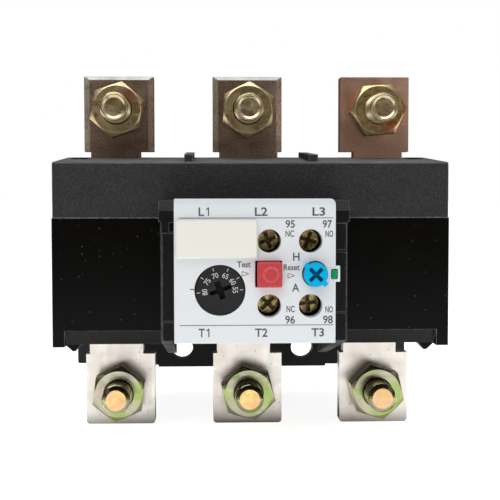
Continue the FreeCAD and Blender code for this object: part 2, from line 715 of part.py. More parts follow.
def main_housing():
    """The upper front moulding: a hood over the poles, open below and at the rear."""
    front, top, edge = s.body_front, s.roof_front, s.hood_edge
    hood = slab("hood", [(front, s.parting), (bar_back, s.parting), (bar_back, s.roof_rear),
                         (front + edge, top), (front + edge * 0.3, top - edge * 0.3),
                         (front, top - edge)], s.body_half)
    side = s.body_half - s.wall
    hollow = slab("hood_hollow", [(front + s.wall, s.parting - 1), (bar_back + 1, s.parting - 1),
                                  (bar_back + 1, s.roof_rear - 3), (front + s.wall, top - s.wall)], side)
    ribs = []
    rib_front = front + s.rib_start
    for tag, across in (("left", -s.rib_place), ("right", s.rib_place)):
        rib = body("roof_rib_" + tag)
        outline = [(rib_front, top - 1), (bar_back, top - 1), (bar_back, s.roof_rear + 1.5),
                   (rib_front, top + s.rib_high)]
        pad(rib, sketch(rib, "YZ", across - s.rib_width / 2, outline), s.rib_width)
        ribs.append(rib)
    webs = [box("hood_web_" + tag, mid(across, s.partition_thick), (front + 1, bar_back - 1.5),
                (s.parting + 0.3, top - 1))
            for tag, across in (("left", -s.partition), ("right", s.partition))]
    posts = [rod("hood_post_%d" % k, "y", (side_place, s.screw_high), s.screw_post,
                 (bar_back - s.post_long, bar_back))
             for k, side_place in enumerate((-s.screw_side, s.screw_side))]
    shell = fuse("hood_whole", cut("hood_shell", hood, hollow), *ribs, *webs, *posts)
    tools = []
    for tag, across in POLES:
        low, high = neck("upper", tag, across)
        tools.append(box("roof_slot_" + tag, (low - s.slot_play, high + s.slot_play),
                         (s.bar_face - s.slot_play, bar_back + 1), (s.parting - 1, s.roof_rear + 3)))
    recess = (high + s.slot_play, s.body_half - s.roof_rim)
    for tag, reach in (("left", (-recess[1], -recess[0])), ("right", recess)):
        tools.append(box("roof_recess_" + tag, reach, (bar_back - s.post_long, bar_back + 1),
                         (s.roof_rear - s.roof_hollow, s.roof_rear + 3)))
    tools += [rod("hood_bore_%d" % k, "y", (side_place, s.screw_high), s.screw_core / 2,
                  (bar_back - s.screw_bore, bar_back + 1))
              for k, side_place in enumerate((-s.screw_side, s.screw_side))]
    return cut("main_housing", shell, *tools)


def side_cover(name, sign, across):
    """A lower front cover: front wall, outer wall, floor with a bar slot, and a corner column."""
    front = s.body_front
    inner_edge = s.case_half + s.cover_gap
    outer_edge = s.cover_half

    def span(low, high):
        return (low, high) if sign > 0 else (-high, -low)

    profile = [(front, s.chamfer_top), (s.chamfer_rear, s.floor_low), (bar_back, s.floor_low),
               (bar_back, s.parting), (front, s.parting)]
    wall = s.wall
    inside = [(front + wall, s.chamfer_top + 1), (s.chamfer_rear + 1, s.floor_low + wall),
              (bar_back + 1, s.floor_low + wall), (bar_back + 1, s.parting + 1),
              (front + wall, s.parting + 1)]
    solids = []
    outer_reach = span(inner_edge, outer_edge)
    inner_reach = span(inner_edge + s.cover_inner, outer_edge - s.cover_outer)
    for tag, outline, reach in (("shell", profile, outer_reach), ("hollow", inside, inner_reach)):
        item = body(name + "_" + tag)
        start = lift(reach[0])
        pad(item, sketch(item, "YZ", start, outline), lift(reach[1]) - start)
        solids.append(item)
    column = body(name + "_column")
    floor, column_low, column_rear = s.floor_low, s.floor_low - 0.2, front + s.column_deep
    foot = [(front, column_low), (column_rear, column_low), (column_rear, floor + 3), (front, floor + 6)]
    start = span(outer_edge - s.column_wide, outer_edge)[0]
    pad(column, sketch(column, "YZ", start, foot), s.column_wide)
    heel = body(name + "_heel")
    inner_heel, outer_heel = outer_edge - 7.2, outer_edge - 2.2
    corners = [(inner_heel, floor + 0.1), (inner_heel + 2, floor - s.heel_deep),
               (inner_heel + 2.8, floor - s.heel_deep), (outer_heel, floor - 0.3),
               (outer_heel, floor + 1), (inner_heel, floor + 1)]
    pad(heel, sketch(heel, "XZ", -(front + 13.4), [(x * sign, z) for x, z in corners]), 6)
    post = rod(name + "_post", "y", (s.screw_side * sign, s.screw_low), s.screw_post,
               (bar_back - s.post_long, bar_back))
    whole = fuse(name + "_whole", cut(name + "_tray", *solids), column, heel, post)
    low, high = neck("lower", name, across)
    slot = box(name + "_slot", (low - s.slot_play, high + s.slot_play),
               (s.bar_face - s.slot_play, bar_back + 1), (s.floor_low - 1, s.floor_low + 4))
    bore = rod(name + "_bore", "y", (s.screw_side * sign, s.screw_low), s.screw_core / 2,
               (bar_back - s.screw_bore, bar_back + 1))
    return cut(name, whole, slot, bore)


def housing_screws():
    """Four long screws driven from the rear; their heads lie in the plate's seats."""
    screws = []
    for k, spot in enumerate(screw_spots()):
        shank = rod("screw_shank_%d" % k, "y", spot, s.screw_core / 2,
                    (bar_back - s.screw_reach, -s.seat_deep))
        head = rod("screw_head_%d" % k, "y", spot, s.screw_seat - 0.2, (-s.seat_deep, -s.head_sunk))
        drive = [box("screw_drive_%d%s" % (k, tag), mid(spot[0], wide), (-1.6, 0), mid(spot[1], high))
                 for tag, wide, high in (("a", s.drive_long, s.drive_wide),
                                         ("b", s.drive_wide, s.drive_long))]
        screws.append(cut("housing_screw_%d" % k, fuse("screw_blank_%d" % k, shank, head), *drive))
    return group("housing_screws", screws)


# ---------------------------------------------------------------- trip module: case and face

def terminal_spots():
    return [(side, level) for side in (s.nc_side, s.no_side)
            for level in (s.terminal_high, s.terminal_low)]


def module_case():
    """A box open at the rear, with a wider cap on top and two slanted legs below."""
    front, rear = s.case_front, s.case_rear
    step = s.body_front - 0.3
    roof = s.parting - 0.3
    floor_front, floor_rear = s.case_low, s.case_low_rear
    shell = slab("case_shell", [(front, floor_front), (rear, floor_rear), (rear, roof), (step, roof),
                                (step, s.cap_top), (front + 2, s.cap_top), (front, s.cap_top - 2.5)],
                 s.case_half)
    cap = slab("case_cap", [(front, s.cap_low), (step, s.cap_low), (step, s.cap_top),
                            (front + 2, s.cap_top), (front, s.cap_top - 2.5)], s.cap_half)
    legs = slab("case_legs", [(front, floor_front), (rear, s.leg_low_rear), (rear, floor_rear + 2)],
                s.case_half)
    gap = box("case_leg_gap", (-s.case_inner, s.case_inner), (front - 1, rear + 1),
              (s.leg_low_rear - 1, floor_front - 0.1))
    thick = s.case_wall
    hollow = slab("case_hollow", [(front + thick, floor_front + thick), (rear + 1, floor_rear + thick),
                                  (rear + 1, roof - thick), (step - thick, roof - thick),
                                  (step - thick, s.cap_top - thick), (front + thick, s.cap_top - thick - 1)],
                  s.case_inner)
    blocks = [box("case_block_%s_%d" % (tag, k), reach, (front - s.block_rise, front + 1), levels)
              for tag, reach, rows in (
                  ("left", (-s.block_half, -s.face_half - 0.1), ((15.8, 20.5), (20.8, 42.6))),
                  ("right", (s.face_half + 0.1, s.block_half), ((15.8, 22.7), (23.0, 37.9), (38.4, 45.0))))
              for k, levels in enumerate(rows)]
    body_shell = fuse("case_body", shell, cap, *blocks)
    with_legs = fuse("case_whole", cut("case_box", body_shell, hollow), cut("case_leg_pair", legs, gap))
    wall = (front - 1, front + thick + 1)
    tools = [rod("case_dial_hole", "y", (s.dial_side, s.dial_level), s.dial_shaft + s.running_play, wall),
             box("case_test_hole", mid(s.test_side, s.stem_wide + s.stem_play), wall,
                 mid(s.button_level, s.stem_wide + s.stem_play)),
             rod("case_reset_hole", "y", (s.reset_side, s.button_level), s.sleeve_round + 0.06, wall),
             box("case_flag_hole", mid(s.flag_side, s.flag_wide + 0.5), wall,
                 mid(s.button_level, s.flag_high + 0.5))]
    tools += [rod("case_driver_hole_%d" % k, "y", spot, s.driver_hole / 2, wall)
              for k, spot in enumerate(terminal_spots())]
    tools.append(box("case_latch_pocket", (-s.case_half + 2, -s.face_half), (front - 1, front + 1.8),
                     (42.9, s.cap_low - 0.1)))
    entry = mid((s.clamp_front + s.clamp_rear) / 2, s.wire_entry)
    tools += [box("case_wire_%s_%d" % (tag, k), mid(side, s.wire_entry), entry, levels)
              for k, side in enumerate((s.nc_side, s.no_side))
              for tag, levels in (("top", (s.cap_top - thick - 1, s.cap_top + 1)),
                                  ("bottom", (floor_rear, floor_front + thick + 1)))]
    return cut("module_case", with_legs, *tools)


def module_back():
    """Rear wall of the case, with a window for the slide's peg and a seat for a spring."""
    rear = s.case_rear
    inner, top = rear - s.back_thick, s.parting - 2.5
    plate = slab("back_blank", [(inner, s.case_low_rear + 2.6), (rear, s.case_low_rear + 2.2),
                                (rear, top), (inner, top)], s.case_inner - 0.1)
    window = box("back_window", (s.compensator_side - 4, s.compensator_side + 4.5), (rear - 4, rear + 1),
                 (16.5, 27))
    seat = rod("back_seat", "y", (s.trip_side, s.button_level), 1.0, (rear - 6, rear - 2))
    return fuse("module_back", cut("back_plate", plate, window), seat)


def face_plate():
    """The white front: a plate with a bevelled top, a tab at the right and eight openings."""
    item = body("face_blank")
    half, low, top = s.face_half, s.case_low, s.face_top
    outline = [(-half, low), (half, low), (half, top), (-half, top)]
    blank = pad(item, sketch(item, "XZ", -s.case_front, outline), s.case_front - s.face_front)

    def top_right(edge):
        return along(edge, "y") and edge.CenterOfMass.x > 0 and edge.CenterOfMass.z > number(low) + 5

    soften(item, blank, 1.2, top_right)
    bevel = slab("face_bevel", [(s.face_front - 1, top - s.face_bevel - 1),
                                (s.face_front + s.face_bevel + 1, top + 1),
                                (s.face_front - 1, top + 1)], half + 2)
    tab = box("face_tab", (half - 0.5, half + s.tab_wide), (s.face_front, s.face_front + 2),
              mid(s.button_level, s.tab_high))
    deep = (s.face_front - 1, s.case_front + 1)
    tools = [rod("face_dial_hole", "y", (s.dial_side, s.dial_level), s.dial_wide / 2 + 0.15, deep),
             box("face_test_hole", (s.test_side - 3.45, s.test_side + 3.15), deep,
                 mid(s.button_level, 6.5)),
             rod("face_reset_hole", "y", (s.reset_side, s.button_level), s.knob_round + 0.2, deep),
             box("face_flag_hole", mid(s.flag_side, s.flag_wide + s.clearance), deep,
                 mid(s.button_level, s.flag_high + s.clearance))]
    tools += [rod("face_driver_hole_%d" % k, "y", spot, s.driver_hole / 2, deep)
              for k, spot in enumerate(terminal_spots())]
    return cut("face_plate", fuse("face_whole", item, tab), bevel, *tools)


def label_strip():
    """A blank label carrier that clips over the left edge of the face plate."""
    front = s.face_front - s.label_thick
    item = body("label_strip")
    left, right, low, high = s.label_left, s.label_right, s.label_low, s.label_high
    outline = [(left, low), (right, low), (right, high), (left, high)]
    blank = pad(item, sketch(item, "XZ", -s.face_front, outline), s.face_front - front)
    soften(item, blank, 0.4, lambda edge: abs(edge.CenterOfMass.y - number(front)) < 0.01,
           "PartDesign::Chamfer")
    return item


# ---------------------------------------------------------------- trip module: controls

def setting_dial():
    """A turned dial and shaft, with an arrow-shaped cross slot in its face."""
    item = body("dial_turning")
    head, shaft = s.dial_wide / 2, s.dial_shaft
    front, under, end = s.face_front + 0.3, s.case_front - 0.3, s.frame_front + s.frame_thick
    disc = sketch(item, "XZ", -under, ("circle", s.dial_side, s.dial_level, head))
    first = pad(item, disc, under - front)
    soften(item, first, 0.3, lambda edge: abs(edge.CenterOfMass.y - number(front)) < 0.01,
           "PartDesign::Chamfer")
    doc.recompute()
    pad(item, sketch(item, "XZ", -end, ("circle", s.dial_side, s.dial_level, shaft)), end - under)
    arms = ((2.9, 1.1), (2.3, 1.5), (2.6, 1.1), (2.3, 1.5))  # length and width, from the arrow's tip
    slots = [spoke("dial_arm_%d" % k, (s.dial_side, s.dial_level), (0, reach), wide,
                   (front - 1, front + 2.1), DIAL_TURN + 90 * k)
             for k, (reach, wide) in enumerate(arms)]
    return cut("setting_dial", item, *slots)


def setting_cam():
    """A plate cam whose radius grows evenly over the dial's whole turn."""
    item = body("cam_plate")
    rise = s.cam_rise / 180
    points = [(97 - CAM_STEP * k, s.cam_least - rise * 7 + rise * (CAM_STEP * k))
              for k in range(CAM_CORNERS)]
    outline = [(s.dial_side + radius * math.cos(math.radians(angle)),
                s.dial_level + radius * math.sin(math.radians(angle))) for angle, radius in points]
    outline += [(s.dial_side - s.cam_least * 0.8, s.dial_level - s.cam_least),
                (s.dial_side - s.cam_least, s.dial_level + s.cam_least * 0.5)]
    pad(item, sketch(item, "XZ", -s.cam_rear, outline,
                     ("circle", s.dial_side, s.dial_level, s.dial_shaft)), s.cam_rear - s.cam_front)
    item.Label = "setting_cam"
    return item


def setting_slider():
    """Rides on the cam and carries the compensating lever's pin at its rear."""
    foot_low = s.dial_level + s.cam_least + s.clearance
    high, wide = s.slider_high, s.slider_wide
    foot = box("slider_foot", mid(s.dial_side, wide), (s.cam_front, s.cam_rear), (foot_low, high))
    arm = box("slider_arm", mid(s.dial_side, wide), (s.cam_front, s.compensator_depth - 2),
              (high - 2, high))
    head = box("slider_head", (s.compensator_side - 2, s.dial_side + wide / 2),
               (s.compensator_depth - 3.5, s.compensator_depth + 2), (high - 3, high))
    return fuse("setting_slider", foot, arm, head)


def test_button():
    """Square push button with a raised ring, a square stem and a stop flange."""
    item = body("test_cap")
    front, rear = s.button_front, s.button_front + s.button_deep
    x, z = mid(s.test_side, s.button_wide), mid(s.button_level, s.button_high)
    outline = [(x[0], z[0]), (x[1], z[0]), (x[1], z[1]), (x[0], z[1])]
    blank = pad(item, sketch(item, "XZ", -rear, outline), rear - front)
    soften(item, blank, 0.5, lambda edge: along(edge, "y") or edge.CenterOfMass.y < number(front) + 0.01)
    ring_face = ring("test_ring", (s.test_side + 0.3, s.button_level), 1.9, 1.6, (front - 0.15, front + 0.1))
    stem = box("test_stem", mid(s.test_side, s.stem_wide), (rear, s.stop_front + 0.7),
               mid(s.button_level, s.stem_wide))
    flange = box("test_flange", mid(s.test_side, s.stem_flange), (s.stop_front, s.stop_rear),
                 mid(s.button_level, s.stem_flange))
    nose = rod("test_nose", "y", (s.test_side, s.button_level), 1.1,
               (s.stop_rear - 0.3, s.stop_rear + s.sleeve_tail))
    return fuse("test_button", item, ring_face, stem, flange, nose)


def reset_knob():
    """Round knob with two opposed ears and a cross slot, on a thin shaft."""
    spot = (s.reset_side, s.button_level)
    front, under, radius, edge_wide = s.knob_front, s.knob_front + s.knob_deep, s.knob_round, 0.3
    head = rod("knob_head", "y", spot, radius, (front + edge_wide, under))
    edge = cone("knob_edge", "y", spot, (radius - edge_wide, radius), (front, front + edge_wide))
    shaft = rod("knob_shaft", "y", spot, s.knob_shaft, (under, s.clamp_front - 0.1))
    ears = [spoke("knob_ear_%d" % k, spot, (0, s.ear_reach), s.ear_wide,
                  (front + 0.15, front + 0.15 + s.ear_thick), angle)
            for k, angle in enumerate((135, 315))]
    slots = [spoke("knob_slot_%d" % k, spot, (-2.1, 2.1), 0.95, (front - 0.4, front + 1.8), angle)
             for k, angle in enumerate((45, 135))]
    return cut("reset_knob", fuse("knob_whole", head, edge, shaft, *ears), *slots)


def reset_slider():
    """Sleeve in which the knob turns and which slides in the case's front wall."""
    spot = (s.reset_side, s.button_level)
    front, rear = s.knob_front + s.knob_deep + s.clearance, s.stop_rear + s.sleeve_tail
    sleeve = rod("sleeve_tube", "y", spot, s.sleeve_round, (front, rear))
    flange = rod("sleeve_flange", "y", spot, s.sleeve_flange, (s.stop_front, s.stop_rear))
    bore = rod("sleeve_bore", "y", spot, s.knob_shaft + s.running_play, (front - 1, rear + 1))
    return cut("reset_slider", fuse("sleeve_whole", sleeve, flange), bore)


def trip_indicator():
    """A flag in the tab's window, on a stem that reaches back beside the frame."""
    level = s.button_level
    flag = box("flag_head", mid(s.flag_side, s.flag_wide), (s.flag_front, s.flag_root),
               mid(level, s.flag_high))
    stem = box("flag_stem", mid(s.flag_side, s.flag_wide - 0.1), (s.flag_root, s.flag_end),
               mid(level, s.flag_high - 0.5))
    return fuse("trip_indicator", flag, stem)


# ---------------------------------------------------------------- trip module: mechanism

def mechanism_frame():
    """Inner frame: a cross plate with windows, two lugs for the trip lever, two guide rods."""
    front, rear = s.frame_front, s.frame_front + s.frame_thick
    plate = box("frame_plate", (-s.case_inner + 0.1, s.case_inner - 0.1), (front, rear),
                (s.frame_low, s.parting - 2.5))
    lugs = [box("frame_lug_" + tag, mid(s.trip_side + offset, 1.2), (rear - 0.5, -74.6),
                mid(s.trip_pivot_level, 3.6))
            for tag, offset in (("left", -2.3), ("right", 2.3))]
    rods = [rod("frame_rod_" + tag, "y", (s.trip_side + offset, s.button_level), s.guide_rod,
                (rear - 0.5, -67))
            for tag, offset in (("left", -s.guide_offset), ("right", s.guide_offset))]
    through = (front - 1, rear + 1)
    tools = [rod("frame_dial_bearing", "y", (s.dial_side, s.dial_level), s.dial_shaft + s.running_play,
                 through),
             box("frame_slider_window", mid(s.dial_side, s.slider_wide + 1), through,
                 (s.slider_high - 3, s.slider_high + 2.2)),
             box("frame_flag_window", (s.flag_side - 1.2, s.flag_side + 1.5), through,
                 mid(s.button_level, s.flag_high + 0.5))]
    tools += [box("frame_strip_window_%d" % k, mid(side, s.strip_wide + 0.4), through, mid(level, 2))
              for k, (side, level) in enumerate(strip_spots())]
    pin = rod("frame_pin_hole", "x", (s.trip_pivot_depth, s.trip_pivot_level), s.trip_pin,
              (s.trip_side - 3.5, s.trip_side + 3.5))
    return cut("mechanism_frame", fuse("frame_whole", plate, *lugs, *rods), *tools, pin)


def strip_spots():
    """Where the four fixed contact strips run: beyond the terminals, above and below."""
    return [(side, level) for side in (s.nc_side, s.no_side)
            for level in (s.terminal_high + s.strip_offset, s.terminal_low - s.strip_offset)]


def trip_lever():
    """Two-armed lever: its upper arm moves the contact slider, its tail meets the latch."""
    depth, level = s.trip_pivot_depth, s.trip_pivot_level
    wide = mid(s.trip_side, 1.4)
    hub = rod("trip_hub", "x", (depth, level), 1.8, mid(s.trip_side, 3))
    arm = box("trip_arm", wide, mid(depth, 1.4), (level, s.button_level))
    tip = rod("trip_tip", "x", (depth, s.button_level), s.trip_tip, wide)
    tail = box("trip_tail", wide, mid(depth, 1.6), (level - 7.5, level))
    bore = rod("trip_bore", "x", (depth, level), s.trip_pin + s.running_play,
               mid(s.trip_side, 4))
    return cut("trip_lever", fuse("trip_whole", hub, arm, tip, tail), bore)


def trip_lever_pin():
    return rod("trip_lever_pin", "x", (s.trip_pivot_depth, s.trip_pivot_level), s.trip_pin,
               mid(s.trip_side, 5.8))


def contact_slider():
    """Slides on the frame's rods and carries both contact bridges on its front."""
    front = s.bridge_front + s.bridge_thick
    block = box("slider_block", (s.nc_side - 2, s.no_side + 2), (front, front + s.block_long),
                mid(s.button_level, 5.4))
    pins = [rod("slider_pin_" + tag, "y", (side, s.button_level), s.bridge_pin, (front - 1.4, front + 1))
            for tag, side in (("nc", s.nc_side), ("no", s.no_side))]
    slot = box("slider_slot", mid(s.trip_side, 2), mid(s.trip_pivot_depth, (s.trip_tip + 0.05) * 2),
               (s.button_level - 4, s.button_level + 1.6))
    bores = [rod("slider_bore_" + tag, "y", (s.trip_side + offset, s.button_level),
                 s.guide_rod + s.running_play, (front - 1, front + s.block_long + 1))
             for tag, offset in (("left", -s.guide_offset), ("right", s.guide_offset))]
    return cut("contact_slider", fuse("slider_whole", block, *pins), slot, *bores)


def bridge(name, side, pads_in_front):
    """A moving contact bridge with a pad at each end."""
    front, rear = s.bridge_front, s.bridge_front + s.bridge_thick
    reach = s.pad_offset * 2 + 3.2
    blade = box(name + "_blade", mid(side, s.bridge_wide), (front, rear), mid(s.button_level, reach))
    pad_span = (front - s.pad_high, front + 0.1) if pads_in_front else (rear - 0.1, rear + s.pad_high)
    pads = [rod(name + "_pad_%d" % k, "y", (side, s.button_level + offset), s.pad_radius, pad_span)
            for k, offset in enumerate((-s.pad_offset, s.pad_offset))]
    hole = rod(name + "_hole", "y", (side, s.button_level), s.bridge_pin, (front - 1, rear + 1))
    return cut(name, fuse(name + "_whole", blade, *pads), hole)


def fixed_contacts(name, side, face, pads_face_rear):
    """Two bent strips from the terminals to the contact pads."""
    strips = []
    high, thick = s.pad_high, s.strip_thick
    lip = (face - high - thick, face - high) if pads_face_rear else (face + high, face + high + thick)
    pad_span = (face - high - 0.1, face) if pads_face_rear else (face, face + high + 0.1)
    for k, (sign, level) in enumerate(((1, s.terminal_high + s.strip_offset),
                                        (-1, s.terminal_low - s.strip_offset))):
        pad_level = s.button_level + s.pad_offset * sign
        wide = mid(side, s.strip_wide)
        run = box("%s_run_%d" % (name, k), wide, (s.clamp_front + 0.2, lip[1]), mid(level, thick))
        reach = (pad_level - 1.3, level + thick / 2) if sign > 0 else (level - thick / 2, pad_level + 1.3)
        turned = box("%s_lip_%d" % (name, k), wide, lip, reach)
        dot = rod("%s_pad_%d" % (name, k), "y", (side, pad_level), s.pad_radius, pad_span)
        strips.append(fuse("%s_strip_%d" % (name, k), run, turned, dot))
    return group(name, strips)


def terminal_clamps():
    """Wire clamps: a square cage behind each driver hole, held on its contact strip."""
    cages = []
    for k, (side, level) in enumerate(terminal_spots()):
        outside = box("cage_out_%d" % k, mid(side, s.clamp_wide), (s.clamp_front, s.clamp_rear),
                      mid(level, s.clamp_high))
        inside = box("cage_in_%d" % k, mid(side, s.clamp_inside),
                     (s.clamp_front + 1.6, s.clamp_rear - 1.4), mid(level, s.clamp_high + 1.6))
        hole = rod("cage_hole_%d" % k, "y", (side, level), s.screw_shank,
                   (s.clamp_front - 1, s.clamp_front + 3))
        sign = 1 if k % 2 == 0 else -1
        slit = box("cage_slit_%d" % k, mid(side, s.strip_wide), (s.clamp_front - 1, s.clamp_rear + 1),
                   mid(level + s.strip_offset * sign, s.strip_thick))
        cages.append(cut("cage_%d" % k, outside, inside, hole, slit))
    return group("terminal_clamps", cages)


def terminal_screws():
    """Pan-head screws with a cross slot, at the bottom of the driver holes."""
    screws = []
    for k, (side, level) in enumerate(terminal_spots()):
        spot = (side, level)
        face, wide = s.screw_face, s.screw_head
        shank = rod("terminal_shank_%d" % k, "y", spot, s.screw_shank,
                    (s.clamp_front, s.clamp_front + 4.2))
        head = rod("terminal_head_%d" % k, "y", spot, wide, (face + 0.5, s.clamp_front))
        dome = cone("terminal_dome_%d" % k, "y", spot, (wide - 0.65, wide), (face, face + 0.5))
        slots = [spoke("terminal_slot_%d%s" % (k, tag), spot, (-2.2, 2.2), 1.0, (face - 0.2, face + 1.6),
                       turn + SCREW_TURN * k)
                 for tag, turn in (("a", 20), ("b", 110))]
        screws.append(cut("terminal_screw_%d" % k, fuse("terminal_blank_%d" % k, shank, head, dome),
                          *slots))
    return group("terminal_screws", screws)


def compensating_lever():
    """Hub on the compensating pin with a long latch arm towards the trip lever."""
    x, y = s.compensator_side, s.compensator_depth
    low, high = s.lever_low, s.lever_high
    hub = rod("lever_hub", "z", (x, y), s.compensator_hub, (low, high + 2))
    latch_y = s.trip_pivot_depth - 0.8 - s.clearance
    arm = box("lever_arm", (x, s.trip_side + 0.9), (latch_y - s.lever_arm, latch_y), (low, high))
    web = box("lever_web", (x - 1.6, x + 1.6), (latch_y - s.lever_arm, y), (low, high))
    slit = box("lever_slit", mid(x, s.compensator_strip), (y + 1.1, y + 3), (low - 1, high + 3))
    bore = rod("lever_bore", "z", (x, y), s.compensator_pin + s.running_play, (low - 1, high + 3))
    return cut("compensating_lever", fuse("lever_whole", hub, arm, web), slit, bore)


def compensating_strip():
    """Bimetal strip set in the hub; the slide's peg pushes its free end."""
    x, y = s.compensator_side, s.compensator_depth
    return box("compensating_strip", mid(x, s.compensator_strip), (y + 1.1, s.case_rear - 4),
               (s.lever_low, s.lever_high + 2))


def compensating_pin():
    return rod("compensating_pin", "z", (s.compensator_side, s.compensator_depth), s.compensator_pin,
               (s.lever_low - 1.2, s.slider_high - 3))


# ---------------------------------------------------------------- poles

def heater(name, across):
    """A meander cut from strip, welded to the back of the upper and the lower bar."""
    strip = box(name + "_blank", mid(across, s.heater_wide), (bar_back, bar_back + s.heater_thick),
                (s.heater_low, s.heater_high))
    cuts = []
    for k in range(6):
        level = s.meander_low + s.meander_step * k
        reach = (across - 6, across + 3) if k % 2 == 0 else (across - 3, across + 6)
        cuts.append(box("%s_cut_%d" % (name, k), reach, (bar_back - 1, bar_back + 2),
                        (level, level + s.meander_cut)))
    return cut(name, strip, *cuts)


def bimetal(name, across):
    return box(name, mid(across, s.bimetal_thick), (s.bimetal_front, s.bimetal_rear),
               (s.bimetal_low, s.bimetal_pivot - 0.15))


def bimetal_brackets():
    """Clamp blocks from the heaters' tops to the bimetals."""
    blocks = [box("bracket_" + side, mid(across, 6), (bar_back + s.heater_thick, s.bimetal_rear + 0.5),
                  (s.bimetal_pivot, s.heater_high)) for side, across in POLES]
    return group("bimetal_brackets", blocks)


def trip_slide():
    """A thin bar across the poles, with a window for each bimetal and a peg to the front."""
    low, high = s.slide_low, s.slide_low + s.slide_thick
    reach = s.pole_pitch + 5
    bar = box("slide_bar", (-reach, reach), (s.slide_front, s.slide_rear), (low, high))
    windows = [box("slide_window_" + side, mid(across, s.bimetal_thick + 0.8),
                   (s.bimetal_front - 0.5, s.bimetal_rear + 0.5), (low - 1, high + 1))
               for side, across in POLES]
    push = s.compensator_side - s.compensator_strip / 2 - s.clearance
    peg = box("slide_peg", (push - 1.8, push), (s.case_rear - 5.5, s.slide_front + 2), (low, high))
    finger = box("slide_finger", (push - 1.8, push), (s.case_rear - 5.5, s.case_rear - 4),
                 (18.4, 24.5))
    return cut("trip_slide", fuse("slide_whole", bar, peg, finger), *windows)


# ---------------------------------------------------------------- the assembly

def poles():
    nodes = []
    for side, across in POLES:
        nodes += [heater("heater_" + side, across), bimetal("bimetal_" + side, across)]
    return nodes


def module_springs():
    level = s.button_level
    wire = s.coil_wire
    return [coil("test_spring", (s.test_side, level), s.coil_radius, wire,
                 (s.stop_rear, s.frame_front), 4),
            coil("reset_spring", (s.reset_side, level), s.coil_radius, wire,
                 (s.stop_rear + s.sleeve_tail, s.frame_front), 3),
            coil("return_spring", (s.trip_side, level), s.coil_radius, wire,
                 (s.bridge_front + s.bridge_thick + s.block_long, s.case_rear - s.back_thick), 4)]


no_pad_face = s.bridge_front + s.bridge_thick + s.pad_high + s.contact_gap + 0.02
nodes = bars() + hardware() + poles()
nodes += [base_housing(), main_housing(), side_cover("side_cover_left", -1, -s.pole_pitch),
          side_cover("side_cover_right", 1, s.pole_pitch), housing_screws()]
nodes += [module_case(), module_back(), face_plate(), label_strip()]
nodes += [setting_dial(), setting_cam(), setting_slider(), test_button(), reset_knob(),
          reset_slider(), trip_indicator()]
nodes += [mechanism_frame(), trip_lever(), trip_lever_pin(), contact_slider(),
          bridge("nc_bridge", s.nc_side, True), bridge("no_bridge", s.no_side, False),
          fixed_contacts("nc_contacts", s.nc_side, s.bridge_front - s.pad_high, True),
          fixed_contacts("no_contacts", s.no_side, no_pad_face, False),
          terminal_clamps(), terminal_screws(), compensating_lever(), compensating_strip(),
          compensating_pin(), bimetal_brackets(), trip_slide()]
nodes += module_springs()

doc.recompute()
for item in doc.Objects:
    if "Invalid" in item.State or "Error" in item.State:
        raise RuntimeError("%s failed: %s" % (item.Name, item.State))
for node in nodes:
    if node.Shape.isNull() or not node.Shape.isValid() or not node.Shape.Solids:
        raise RuntimeError("%s has no valid solid" % node.Label)

os.makedirs("parts", exist_ok=True)
for node in nodes:
    node.Shape.exportStep("parts/%s.step" % node.Label)
print("%d nodes, %d solids" % (len(nodes), sum(len(node.Shape.Solids) for node in nodes)))
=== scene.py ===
"""A three-pole thermal overload relay: its finishes, fine shapes, print, floor and light.

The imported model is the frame. Lengths are in metres; MM turns millimetres into them. The front
of the relay faces -Y and Z is up. Every mesh is made in place, so each object sits at the origin.
"""
import json
import math

import bpy
from mathutils import Matrix, Vector


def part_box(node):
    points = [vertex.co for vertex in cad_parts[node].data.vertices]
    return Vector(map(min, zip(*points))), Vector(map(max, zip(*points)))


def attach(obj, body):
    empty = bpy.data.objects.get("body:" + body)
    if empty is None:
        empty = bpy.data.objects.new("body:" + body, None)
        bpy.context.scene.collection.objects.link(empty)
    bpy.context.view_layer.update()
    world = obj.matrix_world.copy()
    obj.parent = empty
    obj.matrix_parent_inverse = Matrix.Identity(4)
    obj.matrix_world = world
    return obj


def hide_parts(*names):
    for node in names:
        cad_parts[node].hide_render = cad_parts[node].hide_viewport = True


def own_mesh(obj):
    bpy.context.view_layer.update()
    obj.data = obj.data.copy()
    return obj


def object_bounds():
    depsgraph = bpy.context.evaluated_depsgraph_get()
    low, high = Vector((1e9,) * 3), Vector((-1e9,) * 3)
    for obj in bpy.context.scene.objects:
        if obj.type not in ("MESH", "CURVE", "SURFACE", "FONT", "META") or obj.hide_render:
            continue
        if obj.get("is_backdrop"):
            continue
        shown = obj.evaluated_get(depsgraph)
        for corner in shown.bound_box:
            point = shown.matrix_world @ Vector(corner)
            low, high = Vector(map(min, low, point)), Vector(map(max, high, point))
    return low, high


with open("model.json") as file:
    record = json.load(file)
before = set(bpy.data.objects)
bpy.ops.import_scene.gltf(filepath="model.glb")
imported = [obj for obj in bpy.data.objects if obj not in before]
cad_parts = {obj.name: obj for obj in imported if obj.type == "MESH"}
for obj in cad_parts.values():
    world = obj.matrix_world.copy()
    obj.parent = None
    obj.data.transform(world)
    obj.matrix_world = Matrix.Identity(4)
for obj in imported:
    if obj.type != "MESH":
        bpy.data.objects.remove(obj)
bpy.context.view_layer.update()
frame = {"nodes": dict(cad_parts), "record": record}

MM = 0.001
BUMP_DEPTH = 0.1 * MM
BLOOM_JUMP = 6 * MM               # how far the film's pattern moves from one facing to another
BODY_OF = {node: body for body, nodes in frame["record"]["behaviour"]["bodies"].items()
           for node in nodes}
SLOT_OF = {entry["node"]: entry["material_slot"] for entry in frame["record"]["subparts"]}


# ---------------------------------------------------------------- shader tools

def feed(tree, target, value):
    """Set a socket to a plain value, or link another socket to it."""
    if isinstance(value, bpy.types.NodeSocket):
        tree.links.new(value, target)
    else:
        target.default_value = value


